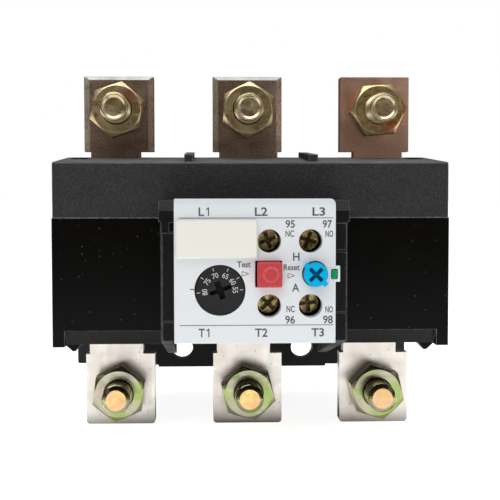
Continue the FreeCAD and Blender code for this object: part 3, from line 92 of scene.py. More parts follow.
def shader_node(tree, kind, inputs=None, **settings):
    made = tree.nodes.new("ShaderNode" + kind)
    for key, value in settings.items():
        setattr(made, key, value)
    for key, value in (inputs or {}).items():
        feed(tree, made.inputs[key], value)
    return made


def maths(tree, operation, *values, clamp=False):
    made = shader_node(tree, "Math", operation=operation, use_clamp=clamp)
    for socket, value in zip(made.inputs, values):
        feed(tree, socket, value)
    return made.outputs["Value"]


def blend_colour(tree, mask, under, over):
    made = shader_node(tree, "Mix", data_type="RGBA", clamp_factor=True)
    sockets = [made.inputs[0]] + [socket for socket in made.inputs if socket.type == "RGBA"]
    for socket, value in zip(sockets, (mask, under, over)):
        feed(tree, socket, value)
    return [socket for socket in made.outputs if socket.type == "RGBA"][0]


def steps(tree, factor, stops):
    """A colour ramp; stops are (place, colour)."""
    made = shader_node(tree, "ValToRGB", {"Fac": factor})
    while len(made.color_ramp.elements) < len(stops):
        made.color_ramp.elements.new(0.5)
    for element, (place, colour) in zip(made.color_ramp.elements, stops):
        element.position = place
        element.color = colour
    return made.outputs["Color"]


def remap(tree, value, low, high, to_low=0.0, to_high=1.0):
    made = shader_node(tree, "MapRange", {"Value": value, "From Min": low, "From Max": high,
                                          "To Min": to_low, "To Max": to_high})
    return made.outputs["Result"]


def object_place(tree, stretch=(1, 1, 1), shift=(0, 0, 0)):
    """Object coordinates, stretched and shifted."""
    place = shader_node(tree, "TexCoord").outputs["Object"]
    mapping = shader_node(tree, "Mapping", {"Vector": place, "Location": shift, "Scale": stretch})
    return mapping.outputs["Vector"]


def noise(tree, place, scale, detail, distortion=0.0):
    made = shader_node(tree, "TexNoise", {"Vector": place, "Scale": scale, "Detail": detail,
                                          "Distortion": distortion})
    return made.outputs["Fac"]


def scattered_spots(tree, place, scale, near, far, share):
    """Small round spots: the middles of a share of the cells of a Voronoi pattern."""
    cells = shader_node(tree, "TexVoronoi", {"Vector": place, "Scale": scale})
    spot = remap(tree, cells.outputs["Distance"], near, far, 1.0, 0.0)
    red = shader_node(tree, "SeparateColor", {"Color": cells.outputs["Color"]}).outputs["Red"]
    return maths(tree, "MULTIPLY", spot, maths(tree, "LESS_THAN", red, share), clamp=True)


def add_bump(tree, shader, strength, height):
    made = shader_node(tree, "Bump", {"Strength": strength, "Distance": BUMP_DEPTH, "Height": height})
    feed(tree, shader["Normal"], made.outputs["Normal"])


def grey(value):
    return (value, value, value, 1)


def effect_group(name, inputs, outputs):
    """An empty node group of numbers: its inputs are (name, default), its outputs names."""
    tree = bpy.data.node_groups.new(name, "ShaderNodeTree")
    for label, default in inputs:
        socket = tree.interface.new_socket(label, in_out="INPUT", socket_type="NodeSocketFloat")
        socket.default_value = default
    for label in outputs:
        tree.interface.new_socket(label, in_out="OUTPUT", socket_type="NodeSocketFloat")
    return tree, tree.nodes.new("NodeGroupInput").outputs, tree.nodes.new("NodeGroupOutput").inputs


def use_effect(tree, effect, **values):
    """An effect group placed in a material; its inputs are named with _ for a space."""
    made = shader_node(tree, "Group", node_tree=effect)
    for key, value in values.items():
        feed(tree, made.inputs[key.replace("_", " ")], value)
    return made.outputs


# ---------------------------------------------------------------- effects shared by the finishes

def make_edge_highlight_and_wear():
    """Rubbed edges, and painted edge highlights: where the rounded normal leaves the true one."""
    tree, given, result = effect_group("edge_highlight_and_wear", [("Width", 0.0003), ("Gain", 7.0), ("Breakup", 900.0)],
                                       ["Mask"])
    softened = shader_node(tree, "Bevel", {"Radius": given["Width"]}, samples=6)
    true = shader_node(tree, "NewGeometry")
    alike = shader_node(tree, "VectorMath", {0: softened.outputs["Normal"], 1: true.outputs["Normal"]},
                        operation="DOT_PRODUCT")
    strength = maths(tree, "MULTIPLY", maths(tree, "SUBTRACT", 1.0, alike.outputs["Value"]), given["Gain"])
    patchy = remap(tree, noise(tree, object_place(tree), given["Breakup"], 3.0), 0.35, 0.6, 0.25, 1.0)
    feed(tree, result["Mask"], maths(tree, "MULTIPLY", strength, patchy, clamp=True))
    return tree


def make_mould_grain():
    """The fine texture of a moulding, its light filler specks and its slow tone changes."""
    tree, given, result = effect_group(
        "mould_grain", [("Scale", 3500.0), ("Specks", 0.12), ("Speck Scale", 1500.0)],
        ["Height", "Speck Mask", "Tone"])
    place = object_place(tree)
    feed(tree, result["Height"], noise(tree, place, given["Scale"], 4.0))
    feed(tree, result["Speck Mask"],
         scattered_spots(tree, place, given["Speck Scale"], 0.05, 0.35, given["Specks"]))
    feed(tree, result["Tone"], noise(tree, place, 55.0, 3.0))
    return tree


def make_handling():
    """Smears and hair scratches left by handling."""
    tree, given, result = effect_group("handling", [("Scale", 90.0)], ["Smear", "Scratches"])
    smear = noise(tree, object_place(tree, (1, 1, 1.8)), given["Scale"], 5.0, 0.6)
    feed(tree, result["Smear"], remap(tree, smear, 0.3, 0.7))
    lines = []
    for stretch, shift in (((14, 1, 0.7), (0.2, 0, 0.1)), ((0.8, 1, 17), (0.5, 0, 0.7))):
        lines.append(remap(tree, noise(tree, object_place(tree, stretch, shift), 260.0, 1.0), 0.70, 0.76))
    feed(tree, result["Scratches"], maths(tree, "MAXIMUM", *lines, clamp=True))
    return tree


def make_dust_and_top_light():
    """Dust on faces that look up, thicker in slow patches; where it is heavy it is also painted light on
    the tops.
    """
    tree, given, result = effect_group("dust_and_top_light", [("Amount", 0.3), ("Scale", 160.0)], ["Mask"])
    facing = shader_node(tree, "SeparateXYZ", {
        "Vector": shader_node(tree, "NewGeometry").outputs["Normal"]}).outputs["Z"]
    up = remap(tree, facing, 0.35, 0.95)
    patch = remap(tree, noise(tree, object_place(tree), given["Scale"], 6.0), 0.30, 0.75, 0.5, 1.0)
    feed(tree, result["Mask"], maths(tree, "MULTIPLY", maths(tree, "MULTIPLY", up, patch),
                                     given["Amount"], clamp=True))
    return tree


def make_rolled_lines():
    """Fine lines left by the rolls along a bar, and small pits."""
    tree, given, result = effect_group("rolled_lines", [("Scale", 700.0), ("Pit Scale", 1300.0)],
                                       ["Height", "Tone", "Pits"])
    feed(tree, result["Height"], noise(tree, object_place(tree, (1, 1, 0.04)), given["Scale"], 3.0))
    feed(tree, result["Tone"], noise(tree, object_place(tree, (1, 1, 0.5)), 130.0, 4.0))
    feed(tree, result["Pits"],
         scattered_spots(tree, object_place(tree), given["Pit Scale"], 0.1, 0.3, 0.10))
    return tree


def make_chromate_bloom():
    """The thickness of the rainbow film on yellow zinc plating, in patches that break at an edge."""
    tree, given, result = effect_group("chromate_bloom", [("Scale", 120.0)], ["Film"])
    place = shader_node(tree, "TexCoord").outputs["Object"]
    facing = shader_node(tree, "NewGeometry").outputs["Normal"]
    bent = shader_node(tree, "VectorMath", {0: facing, 1: (BLOOM_JUMP, BLOOM_JUMP, BLOOM_JUMP)},
                       operation="MULTIPLY").outputs["Vector"]
    moved = shader_node(tree, "VectorMath", {0: place, 1: bent}, operation="ADD").outputs["Vector"]
    feed(tree, result["Film"], noise(tree, moved, given["Scale"], 2.5, 0.8))
    return tree


def make_painted_recess_shade():
    """Painted shade that deepens behind a front plane, such as at the bottom of a cross slot."""
    tree, given, result = effect_group("painted_recess_shade", [("Front", 0.0), ("Depth", 0.001)], ["Mask"])
    place = shader_node(tree, "TexCoord").outputs["Object"]
    behind = maths(tree, "SUBTRACT", shader_node(tree, "SeparateXYZ", {"Vector": place}).outputs["Y"],
                   given["Front"])
    feed(tree, result["Mask"], maths(tree, "DIVIDE", behind, given["Depth"], clamp=True))
    return tree


EDGE_HIGHLIGHT_AND_WEAR = make_edge_highlight_and_wear()
PAINTED_RECESS_SHADE = make_painted_recess_shade()
MOULD_GRAIN = make_mould_grain()
HANDLING = make_handling()
DUST_AND_TOP_LIGHT = make_dust_and_top_light()
ROLLED_LINES = make_rolled_lines()
CHROMATE_BLOOM = make_chromate_bloom()


# ---------------------------------------------------------------- finishes

def new_finish(name, **constants):
    """A material with its Principled shader; constants go straight on the shader's sockets."""
    finish = bpy.data.materials.new(name)
    finish.use_nodes = True
    shader = finish.node_tree.nodes["Principled BSDF"]
    for key, value in constants.items():
        shader.inputs[key.replace("_", " ")].default_value = value
    return finish, finish.node_tree, shader.inputs


# Dust grey, which on the housing's roof is also painted top light.
DUST = (0.42, 0.41, 0.39, 1)
TIN_SPOT = (0.10, 0.060, 0.050, 1)
TIN_PIT = (0.07, 0.055, 0.045, 1)
TIN_SCRATCH = (0.9, 0.88, 0.85, 1)
TIN_RUBBED = (0.86, 0.84, 0.8, 1)
# Dark brown: tarnish, and painted shade on nut flanks and countersinks.
TARNISH_AND_SHADE_BROWN = (0.10, 0.080, 0.045, 1)
ZINC_SPECK = (0.25, 0.17, 0.08, 1)
ZINC_RUBBED = (0.92, 0.86, 0.70, 1)
# Painted shade at the bottom of the screws' cross slots.
SLOT_SHADE_ZINC = (0.012, 0.010, 0.006, 1)


def moulding(name, colour, rough, grain, dust, grain_scale=3500.0, specks=0.0, speck_scale=1500.0,
             speck_colour=(0.2, 0.2, 0.21, 1), wear=0.25, edge_highlight_and_wear_tint=(0.16, 0.16, 0.17, 1),
             highlight_and_wear_reach=0.00035, tone=0.3, rough_swing=0.10, mottle=0.0, recess=None, **constants):
    """A moulded plastic: grain in the bump, specks, rubbed edges with painted edge highlights, dust that is
    also painted top light, and smears.

    recess is (front plane, depth, colour) where the bottom of a slot gets painted shade.
    """
    finish, tree, shader = new_finish(name, **constants)
    base = colour + (1,)
    grained = use_effect(tree, MOULD_GRAIN, Scale=grain_scale, Specks=specks, Speck_Scale=speck_scale)
    marks = use_effect(tree, HANDLING)
    edge_mask = use_effect(tree, EDGE_HIGHLIGHT_AND_WEAR, Width=highlight_and_wear_reach)["Mask"]
    dust_and_lit_mask = use_effect(tree, DUST_AND_TOP_LIGHT, Amount=dust)["Mask"]
    lighter = tuple(min(1.0, part * (1 + tone)) for part in colour) + (1,)
    darker = tuple(part * (1 - tone) for part in colour) + (1,)
    body = blend_colour(tree, remap(tree, grained["Tone"], 0.3, 0.7), darker, lighter)
    body = blend_colour(tree, 0.35, body, base)
    body = blend_colour(tree, remap(tree, grained["Height"], 0.42, 0.75, 0.0, mottle), body, speck_colour)
    body = blend_colour(tree, grained["Speck Mask"], body, speck_colour)
    # Lighter edges: rubbed wear, and painted edge highlights.
    body = blend_colour(tree, maths(tree, "MULTIPLY", edge_mask, wear), body, edge_highlight_and_wear_tint)
    body = blend_colour(tree, dust_and_lit_mask, body, DUST)
    # The bottom of a slot gets painted shade.
    if recess:
        front, depth, shade = recess
        sunk = use_effect(tree, PAINTED_RECESS_SHADE, Front=front, Depth=depth)["Mask"]
        body = blend_colour(tree, sunk, body, shade + (1,))
    feed(tree, shader["Base Color"], body)
    swing = remap(tree, marks["Smear"], 0, 1, rough - rough_swing, rough + rough_swing)
    rougher = maths(tree, "ADD", swing, maths(tree, "MULTIPLY", dust_and_lit_mask, 0.5), clamp=True)
    feed(tree, shader["Roughness"], rougher)
    height = maths(tree, "SUBTRACT", grained["Height"], maths(tree, "MULTIPLY", marks["Scratches"], 0.4))
    add_bump(tree, shader, grain, height)
    return finish


def tinned(name, bright, shade, rough, pits=0.5, mottle=0.0):
    """Tinned copper bar: rolled lines, clouds of tarnish, pits and rubbed edges."""
    finish, tree, shader = new_finish(name, Metallic=1.0, Anisotropic=0.35)
    rolled = use_effect(tree, ROLLED_LINES)
    marks = use_effect(tree, HANDLING, Scale=140.0)
    edge_mask = use_effect(tree, EDGE_HIGHLIGHT_AND_WEAR, Width=0.0003, Gain=2.5)["Mask"]
    body = blend_colour(tree, remap(tree, rolled["Tone"], 0.35, 0.68), shade + (1,), bright + (1,))
    grained = use_effect(tree, MOULD_GRAIN, Scale=2000.0)
    body = blend_colour(tree, remap(tree, grained["Height"], 0.40, 0.70, 0.0, mottle), body, TIN_SPOT)
    body = blend_colour(tree, maths(tree, "MULTIPLY", rolled["Pits"], pits), body, TIN_PIT)
    body = blend_colour(tree, maths(tree, "MULTIPLY", marks["Scratches"], 0.10), body, TIN_SCRATCH)
    body = blend_colour(tree, maths(tree, "MULTIPLY", edge_mask, 0.6), body, TIN_RUBBED)
    feed(tree, shader["Base Color"], body)
    feed(tree, shader["Roughness"], remap(tree, maths(tree, "ADD", marks["Smear"], rolled["Height"]),
                                          0.3, 1.6, rough - 0.07, rough + 0.10))
    height = maths(tree, "SUBTRACT", rolled["Height"], maths(tree, "MULTIPLY", rolled["Pits"], 0.8))
    add_bump(tree, shader, 0.12, height)
    return finish


GOLD_FILM = ((0.30, (0.50, 0.34, 0.12)), (0.42, (0.66, 0.56, 0.20)), (0.50, (0.52, 0.52, 0.18)),
             (0.58, (0.44, 0.48, 0.14)), (0.68, (0.62, 0.38, 0.22)))
BROWN_FILM = ((0.32, (0.58, 0.40, 0.22)), (0.42, (0.80, 0.66, 0.38)), (0.49, (0.62, 0.58, 0.32)),
              (0.56, (0.72, 0.46, 0.30)), (0.64, (0.66, 0.28, 0.16)))
GREEN_FILM = ((0.32, (0.72, 0.50, 0.26)), (0.40, (0.40, 0.58, 0.17)), (0.47, (0.56, 0.61, 0.29)),
              (0.54, (0.60, 0.60, 0.44)), (0.61, (0.60, 0.48, 0.41)), (0.70, (0.35, 0.53, 0.16)))
BEIGE_FILM = ((0.36, (0.52, 0.46, 0.20)), (0.46, (0.84, 0.76, 0.50)), (0.54, (0.70, 0.50, 0.30)),
              (0.64, (0.80, 0.74, 0.40)))
OLIVE_FILM = ((0.35, (0.20, 0.15, 0.05)), (0.50, (0.34, 0.29, 0.12)), (0.65, (0.22, 0.22, 0.10)))
BRIGHT_FILM = ((0.36, (0.86, 0.74, 0.26)), (0.50, (0.86, 0.56, 0.24)), (0.62, (0.84, 0.50, 0.34)))
SCREW_FILM = ((0.36, (0.26, 0.24, 0.06)), (0.43, (0.78, 0.40, 0.28)), (0.50, (0.92, 0.90, 0.32)),
              (0.56, (0.55, 0.52, 0.16)), (0.62, (0.46, 0.18, 0.12)))
AMBER_FILM = ((0.34, (0.62, 0.28, 0.13)), (0.43, (0.74, 0.58, 0.28)), (0.50, (0.66, 0.48, 0.30)),
              (0.56, (0.68, 0.63, 0.27)), (0.63, (0.62, 0.26, 0.15)))


def yellow_zinc(name, film=GOLD_FILM, scale=120.0, rough=0.28, tarnish_and_shade=0.0, recess=None):
    """Zinc plating with a yellow chromate film, whose colours follow its thickness.

    tarnish_and_shade is the share of a dark brown: tarnish, and on nut flanks and countersinks painted
    shade; recess is (front plane, depth) where a slot gets painted shade.
    """
    finish, tree, shader = new_finish(name, Metallic=1.0)
    bloom = use_effect(tree, CHROMATE_BLOOM, Scale=scale)
    marks = use_effect(tree, HANDLING, Scale=220.0)
    grained = use_effect(tree, MOULD_GRAIN, Scale=2600.0, Specks=0.08, Speck_Scale=2200.0)
    edge_mask = use_effect(tree, EDGE_HIGHLIGHT_AND_WEAR, Width=0.0002, Gain=5.0)["Mask"]
    body = steps(tree, bloom["Film"], [(place, colour + (1,)) for place, colour in film])
    body = blend_colour(tree, tarnish_and_shade, body, TARNISH_AND_SHADE_BROWN)
    body = blend_colour(tree, maths(tree, "MULTIPLY", grained["Speck Mask"], 0.5), body, ZINC_SPECK)
    body = blend_colour(tree, maths(tree, "MULTIPLY", edge_mask, 0.7 * (1 - tarnish_and_shade)), body, ZINC_RUBBED)
    # The bottom of a slot gets painted shade.
    if recess:
        sunk = use_effect(tree, PAINTED_RECESS_SHADE, Front=recess[0], Depth=recess[1])["Mask"]
        body = blend_colour(tree, sunk, body, SLOT_SHADE_ZINC)
    feed(tree, shader["Base Color"], body)
    feed(tree, shader["Roughness"], remap(tree, marks["Smear"], 0, 1, rough - 0.06, rough + 0.10))
    add_bump(tree, shader, 0.08, grained["Height"])
    return finish


def plain_metal(name, colour, rough, stain=(0.2, 0.16, 0.12), stain_share=0.3):
    """A worked metal: slow stains, smears and rubbed edges."""
    finish, tree, shader = new_finish(name, Metallic=1.0)
    grained = use_effect(tree, MOULD_GRAIN, Scale=2000.0, Specks=0.1, Speck_Scale=1800.0)
    marks = use_effect(tree, HANDLING, Scale=180.0)
    edge_mask = use_effect(tree, EDGE_HIGHLIGHT_AND_WEAR, Width=0.0002, Gain=2.0)["Mask"]
    stained = maths(tree, "MULTIPLY", remap(tree, grained["Tone"], 0.45, 0.75), stain_share)
    body = blend_colour(tree, stained, colour + (1,), stain + (1,))
    body = blend_colour(tree, maths(tree, "MULTIPLY", edge_mask, 0.5), body, grey(0.85))
    feed(tree, shader["Base Color"], body)
    feed(tree, shader["Roughness"], remap(tree, marks["Smear"], 0, 1, rough - 0.07, rough + 0.1))
    add_bump(tree, shader, 0.1, grained["Height"])
    return finish


def printed_ink(name, colour):
    """Printing ink, a little uneven in its cover."""
    finish, tree, shader = new_finish(name)
    grained = use_effect(tree, MOULD_GRAIN, Scale=5200.0, Specks=0.05, Speck_Scale=2600.0)
    thin = tuple(part * 0.6 + 0.2 for part in colour) + (1,)
    body = blend_colour(tree, remap(tree, grained["Height"], 0.35, 0.8, 0.0, 0.5), colour + (1,), thin)
    feed(tree, shader["Base Color"], body)
    feed(tree, shader["Roughness"], remap(tree, grained["Tone"], 0.3, 0.7, 0.47, 0.63))
    return finish


dial_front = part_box("setting_dial")[0].y
knob_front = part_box("reset_knob")[0].y
screw_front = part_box("terminal_screws")[0].y

# one finish for each material slot of the CAD
FINISHES = {
    # On the mouldings the light edge tints are rubbed wear and painted edge highlights.
    "black_moulding": moulding("black_moulding", (0.009, 0.009, 0.0092), 0.52, grain=0.3, wear=0.4,
                               dust=0.14, edge_highlight_and_wear_tint=(0.10, 0.10, 0.10, 1)),
    # Its heavy dust is also painted light on the housing's roof.
    "speckled_moulding": moulding("speckled_moulding", (0.0075, 0.0073, 0.0078), 0.66, grain=0.5,
                                  grain_scale=2400.0, speck_colour=(0.055, 0.053, 0.056, 1), mottle=0.62,
                                  wear=0.9, dust=0.5, edge_highlight_and_wear_tint=(0.34, 0.34, 0.34, 1)),
    "smooth_black": moulding("smooth_black", (0.0018, 0.0017, 0.0014), 0.24, grain=0.05, wear=0.9,
                             highlight_and_wear_reach=0.0003, dust=0.08, tone=0.15, rough_swing=0.03,
                             edge_highlight_and_wear_tint=(0.34, 0.34, 0.33, 1), specks=0.035,
                             speck_colour=(0.045, 0.045, 0.048, 1), speck_scale=1100.0,
                             Specular_IOR_Level=0.12),
    "module_black": moulding("module_black", (0.0030, 0.0029, 0.0027), 0.42, grain=0.2, wear=0.8,
                             dust=0.12, edge_highlight_and_wear_tint=(0.20, 0.20, 0.205, 1), Specular_IOR_Level=0.2),
    "white_face": moulding("white_face", (0.80, 0.84, 0.865), 0.42, grain=0.06, wear=0.12, tone=0.012,
                           edge_highlight_and_wear_tint=(0.9, 0.92, 0.94, 1), dust=0.0, rough_swing=0.06),
    "cream_label": moulding("cream_label", (0.88, 0.88, 0.81), 0.40, grain=0.05, wear=0.08, tone=0.01,
                            edge_highlight_and_wear_tint=(0.95, 0.95, 0.92, 1), dust=0.0, rough_swing=0.05),
    # recess paints shade into the bottom of the dial's cross slot.
    "dial_black": moulding("dial_black", (0.013, 0.0135, 0.0135), 0.50, grain=0.3, wear=0.5, dust=0.0,
                           edge_highlight_and_wear_tint=(0.10, 0.10, 0.10, 1), Specular_IOR_Level=0.3,
                           recess=(dial_front + 0.15 * MM, 0.5 * MM, (0.001, 0.001, 0.001))),
    "natural_nylon": moulding("natural_nylon", (0.62, 0.60, 0.52), 0.45, grain=0.1, wear=0.1,
                              edge_highlight_and_wear_tint=(0.75, 0.74, 0.68, 1), dust=0.05),
    "red_button": moulding("red_button", (0.54, 0.052, 0.060), 0.34, grain=0.08, wear=0.8, tone=0.06,
                           highlight_and_wear_reach=0.0005, edge_highlight_and_wear_tint=(0.85, 0.30, 0.28, 1), dust=0.0,
                           Specular_IOR_Level=0.3),
    # recess paints shade into the bottom of the knob's cross slot.
    "blue_knob": moulding("blue_knob", (0.0, 0.45, 0.79), 0.38, grain=0.08, wear=0.3, tone=0.05,
                          edge_highlight_and_wear_tint=(0.05, 0.58, 0.90, 1), dust=0.0, Specular_IOR_Level=0.1,
                          recess=(knob_front + 0.2 * MM, 1.2 * MM, (0.002, 0.19, 0.38))),
    "green_flag": moulding("green_flag", (0.0, 0.305, 0.10), 0.40, grain=0.08, wear=0.2, tone=0.05,
                           edge_highlight_and_wear_tint=(0.05, 0.4, 0.18, 1), dust=0.0, Specular_IOR_Level=0.2),
    # One tinned copper in a darkened and a brightened copy: painted reflection of the dark room in the line
    # bars and of the white floor in the load bars.
    "tinned_bar_dark": tinned("tinned_bar_dark", (0.56, 0.42, 0.32), (0.38, 0.28, 0.21), 0.36, mottle=0.6),
    "tinned_bar_bright": tinned("tinned_bar_bright", (1.0, 0.98, 0.93), (0.90, 0.82, 0.74), 0.30, pits=0.7),
    "yellow_zinc": yellow_zinc("yellow_zinc"),
    "bright_steel": plain_metal("bright_steel", (0.60, 0.60, 0.60), 0.34),
    "spring_steel": plain_metal("spring_steel", (0.46, 0.46, 0.46), 0.30),
    "laminate": moulding("laminate", (0.30, 0.15, 0.07), 0.55, grain=0.4, specks=0.2,
                         speck_colour=(0.4, 0.24, 0.12, 1), dust=0.1),
    "bimetal": plain_metal("bimetal", (0.50, 0.45, 0.38), 0.36, (0.3, 0.2, 0.12), 0.4),
    "heater_alloy": plain_metal("heater_alloy", (0.36, 0.33, 0.30), 0.45, (0.16, 0.12, 0.16), 0.6),
    "contact_brass": plain_metal("contact_brass", (0.70, 0.52, 0.24), 0.32, (0.35, 0.22, 0.10), 0.4),
}
COPPER_BROWN = tinned("copper_brown", (0.77, 0.50, 0.365), (0.65, 0.41, 0.295), 0.40, mottle=0.25)
# Painted highlights for the rolled top and left edges of the line bars.
TOP_HIGHLIGHT_TIN = tinned("top_highlight_tin", (0.50, 0.49, 0.46), (0.38, 0.37, 0.35), 0.42, pits=0.8)
LEFT_HIGHLIGHT_TIN = tinned("left_highlight_tin", (0.74, 0.67, 0.53), (0.52, 0.46, 0.36), 0.40, mottle=0.4)
LINE_ZINC = yellow_zinc("line_zinc", BROWN_FILM, scale=110.0, rough=0.27)
AMBER_ZINC = yellow_zinc("amber_zinc", AMBER_FILM, scale=110.0, rough=0.27)
# Painted shade for nut flanks.
FLANK_SHADE_ZINC = yellow_zinc("flank_shade_zinc", BROWN_FILM, rough=0.35, tarnish_and_shade=0.80)
LOAD_ZINC = yellow_zinc("load_zinc", GREEN_FILM, scale=80.0, rough=0.20, tarnish_and_shade=0.18)
# recess paints shade into the bottoms of the screws' cross slots.
DARK_ZINC = yellow_zinc("dark_zinc", SCREW_FILM, scale=380.0, rough=0.26, tarnish_and_shade=0.12,
                        recess=(screw_front + 0.35 * MM, 1.5 * MM))
LINE_STUD = yellow_zinc("line_stud", BEIGE_FILM, scale=190.0, rough=0.26)
LOAD_STUD = yellow_zinc("load_stud", OLIVE_FILM, scale=150.0, rough=0.24)
GOLD_TIP = yellow_zinc("gold_tip", BRIGHT_FILM, scale=230.0, rough=0.22)
# A painted highlight for the lower half of the load studs' chamfers.
CHAMFER_HIGHLIGHT_ZINC = yellow_zinc("chamfer_highlight_zinc", GREEN_FILM, scale=150.0, rough=0.24)
SHADED_ZINC = yellow_zinc("shaded_zinc", BROWN_FILM, rough=0.35, tarnish_and_shade=0.92)
FACE_INK = printed_ink("face_ink", (0.055, 0.055, 0.06))
DIAL_INK = printed_ink("dial_ink", (0.58, 0.59, 0.60))

for node, obj in frame["nodes"].items():
    obj.data.materials.clear()
    obj.data.materials.append(FINISHES[SLOT_OF[node]])


# ---------------------------------------------------------------- modelling tools

WELD_GAP = 0.002 * MM
FLAT_ANGLE = math.radians(0.4)    # facets closer than this are one flat face
ROUND_ANGLE = math.radians(28)    # edges sharper than this are rounded


def clear_selection():
    if bpy.context.mode != "OBJECT":
        bpy.ops.object.mode_set(mode="OBJECT")
    bpy.ops.object.select_all(action="DESELECT")


def take(obj):
    """Make one object the only selected and active one."""
    clear_selection()
    obj.select_set(True)
    bpy.context.view_layer.objects.active = obj
    return obj


def edit(obj, mode="FACE"):
    take(obj)
    bpy.ops.object.mode_set(mode="EDIT")
    bpy.ops.mesh.select_mode(type=mode)


def leave_edit():
    bpy.ops.object.mode_set(mode="OBJECT")


def pick_faces(obj, test):
    """Select the faces whose centre and normal pass a test, and go on in edit mode."""
    edit(obj)
    bpy.ops.mesh.select_all(action="DESELECT")
    bpy.ops.object.mode_set(mode="OBJECT")
    for face in obj.data.polygons:
        face.select = test(face.center, face.normal)
    bpy.ops.object.mode_set(mode="EDIT")


def apply_modifier(obj, kind, **settings):
    take(obj)
    modifier = obj.modifiers.new(kind.lower(), kind)
    for key, value in settings.items():
        setattr(modifier, key, value)
    bpy.ops.object.modifier_apply(modifier=modifier.name)


def settle(obj):
    """Bring the object's place into its mesh."""
    take(obj)
    bpy.ops.object.transform_apply(location=True, rotation=True, scale=True)
    return obj


def join(objects, name):
    clear_selection()
    for obj in objects:
        obj.select_set(True)
    bpy.context.view_layer.objects.active = objects[0]
    bpy.ops.object.join()
    objects[0].name = name
    return objects[0]


def dress(obj, finish, body):
    """Give a piece its finish and its slot, and let it ride on its body."""
    obj.data.materials.clear()
    obj.data.materials.append(finish)
    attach(obj, body)


def copied(node):
    """A welded copy of a CAD node's mesh, with its flat faces whole."""
    piece = bpy.data.objects.new(node + "_finished", frame["nodes"][node].data.copy())
    bpy.context.scene.collection.objects.link(piece)
    edit(piece)
    bpy.ops.mesh.select_all(action="SELECT")
    bpy.ops.mesh.remove_doubles(threshold=WELD_GAP)
    bpy.ops.mesh.dissolve_limited(angle_limit=FLAT_ANGLE)
    leave_edit()
    return piece


def mesh_box(obj):
    """The lowest and highest corners of a mesh."""
    places = [vertex.co for vertex in obj.data.vertices]
    return (Vector(min(place[k] for place in places) for k in range(3)),
            Vector(max(place[k] for place in places) for k in range(3)))


def smooth_over(piece, angle):
    """Smooth shading across edges flatter than an angle, with the flat faces kept flat."""
    take(piece)
    bpy.ops.object.shade_smooth_by_angle(angle=math.radians(angle))
    apply_modifier(piece, "WEIGHTED_NORMAL", keep_sharp=True)


def paint(piece, finish, test):
    """Give the faces that pass a test a second finish."""
    piece.data.materials.append(finish)
    pick_faces(piece, test)
    piece.active_material_index = len(piece.data.materials) - 1
    bpy.ops.object.material_slot_assign()
    leave_edit()


def rounded(node, width, finish=None, smooth=38):
    """The CAD node again with its sharp edges rounded; it stands for the node."""
    piece = copied(node)
    apply_modifier(piece, "BEVEL", width=width, segments=2, limit_method="ANGLE",
                   angle_limit=ROUND_ANGLE, use_clamp_overlap=True, miter_outer="MITER_ARC",
                   loop_slide=True)
    smooth_over(piece, smooth)
    dress(piece, finish or FINISHES[SLOT_OF[node]], BODY_OF[node])
    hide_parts(node)
    return piece


# ---------------------------------------------------------------- housings, bars and controls

for node, width in (("base_housing", 0.40), ("main_housing", 0.30), ("side_cover_left", 0.22),
                    ("side_cover_right", 0.22), ("module_case", 0.18), ("face_plate", 0.14),
                    ("label_strip", 0.14), ("setting_dial", 0.10), ("test_button", 0.10),
                    ("reset_knob", 0.14), ("trip_indicator", 0.06)):
    rounded(node, width * MM)


def rolled_top(centre, normal):
    """The rolled edge along the top of a line bar, which slants back from its front."""
    return normal.z > 0.25 and -0.97 < normal.y < -0.5


def rolled_left(centre, normal):
    """The rolled edge down the left of a line bar, which slants back from its front."""
    return normal.x < -0.15 and -0.99 < normal.y < -0.5


for side in ("left", "middle", "right"):
    bar = rounded("upper_bar_" + side, 0.07 * MM, finish=COPPER_BROWN if side == "right" else None,
                  smooth=12)
    # Painted highlights on the rolled top and left edges.
    if side != "right":
        paint(bar, TOP_HIGHLIGHT_TIN, rolled_top)
        paint(bar, LEFT_HIGHLIGHT_TIN, rolled_left)
    rounded("lower_bar_" + side, 0.14 * MM, smooth=20)
for node in ("flat_washers", "spring_washers"):
    rounded(node, 0.14 * MM)
rounded("terminal_screws", 0.10 * MM, finish=DARK_ZINC)


# ---------------------------------------------------------------- coil springs

def coil_spring(node):
    """The spring again, smooth, in a mesh of its own; the joint's record lists it among its deforming
    nodes.
    """
    piece = take(copied(node))
    bpy.ops.object.shade_smooth_by_angle(angle=math.radians(50))
    dress(piece, FINISHES[SLOT_OF[node]], BODY_OF[node])
    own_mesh(piece)
    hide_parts(node)


for joint in frame["record"]["behaviour"]["joints"]:
    for spring in joint.get("deforming_nodes", []):
        coil_spring(spring["node"])


# ---------------------------------------------------------------- nuts, and bolts with their threads

STUD_RADIUS = 4.0 * MM
PITCH = 1.25 * MM
THREAD_STEPS = 40
THREAD_DEEP = 0.5 * PITCH
THREAD_IN_NUT = 1.2 * MM          # the modelled thread goes on this far behind the nut's front
THREAD_TURN = 1.9                 # radians from one stud's thread to the next
SHANK_LAP = 0.05 * MM             # the CAD shank runs this far into the modelled one
HEAD_ROUND = 0.25 * MM
END_FACE = 0.1 * MM               # what lies this close to the tip is the end face
POINT_LENGTH = 1.6 * MM           # of the plain end, behind its chamfer
POINT_ROUND = 0.12 * MM
POINT_CLEAR = 0.12 * MM           # the plain end lies this far within the thread's crests
DISH_RIM = 0.40 * MM
DISH_SLOPE = 0.55 * MM
COUNTERSINK_REACH = 4.5 * MM      # from a nut's middle
METAL_SMOOTH = 24                 # degrees; sharper edges of nuts and bolts stay crisp


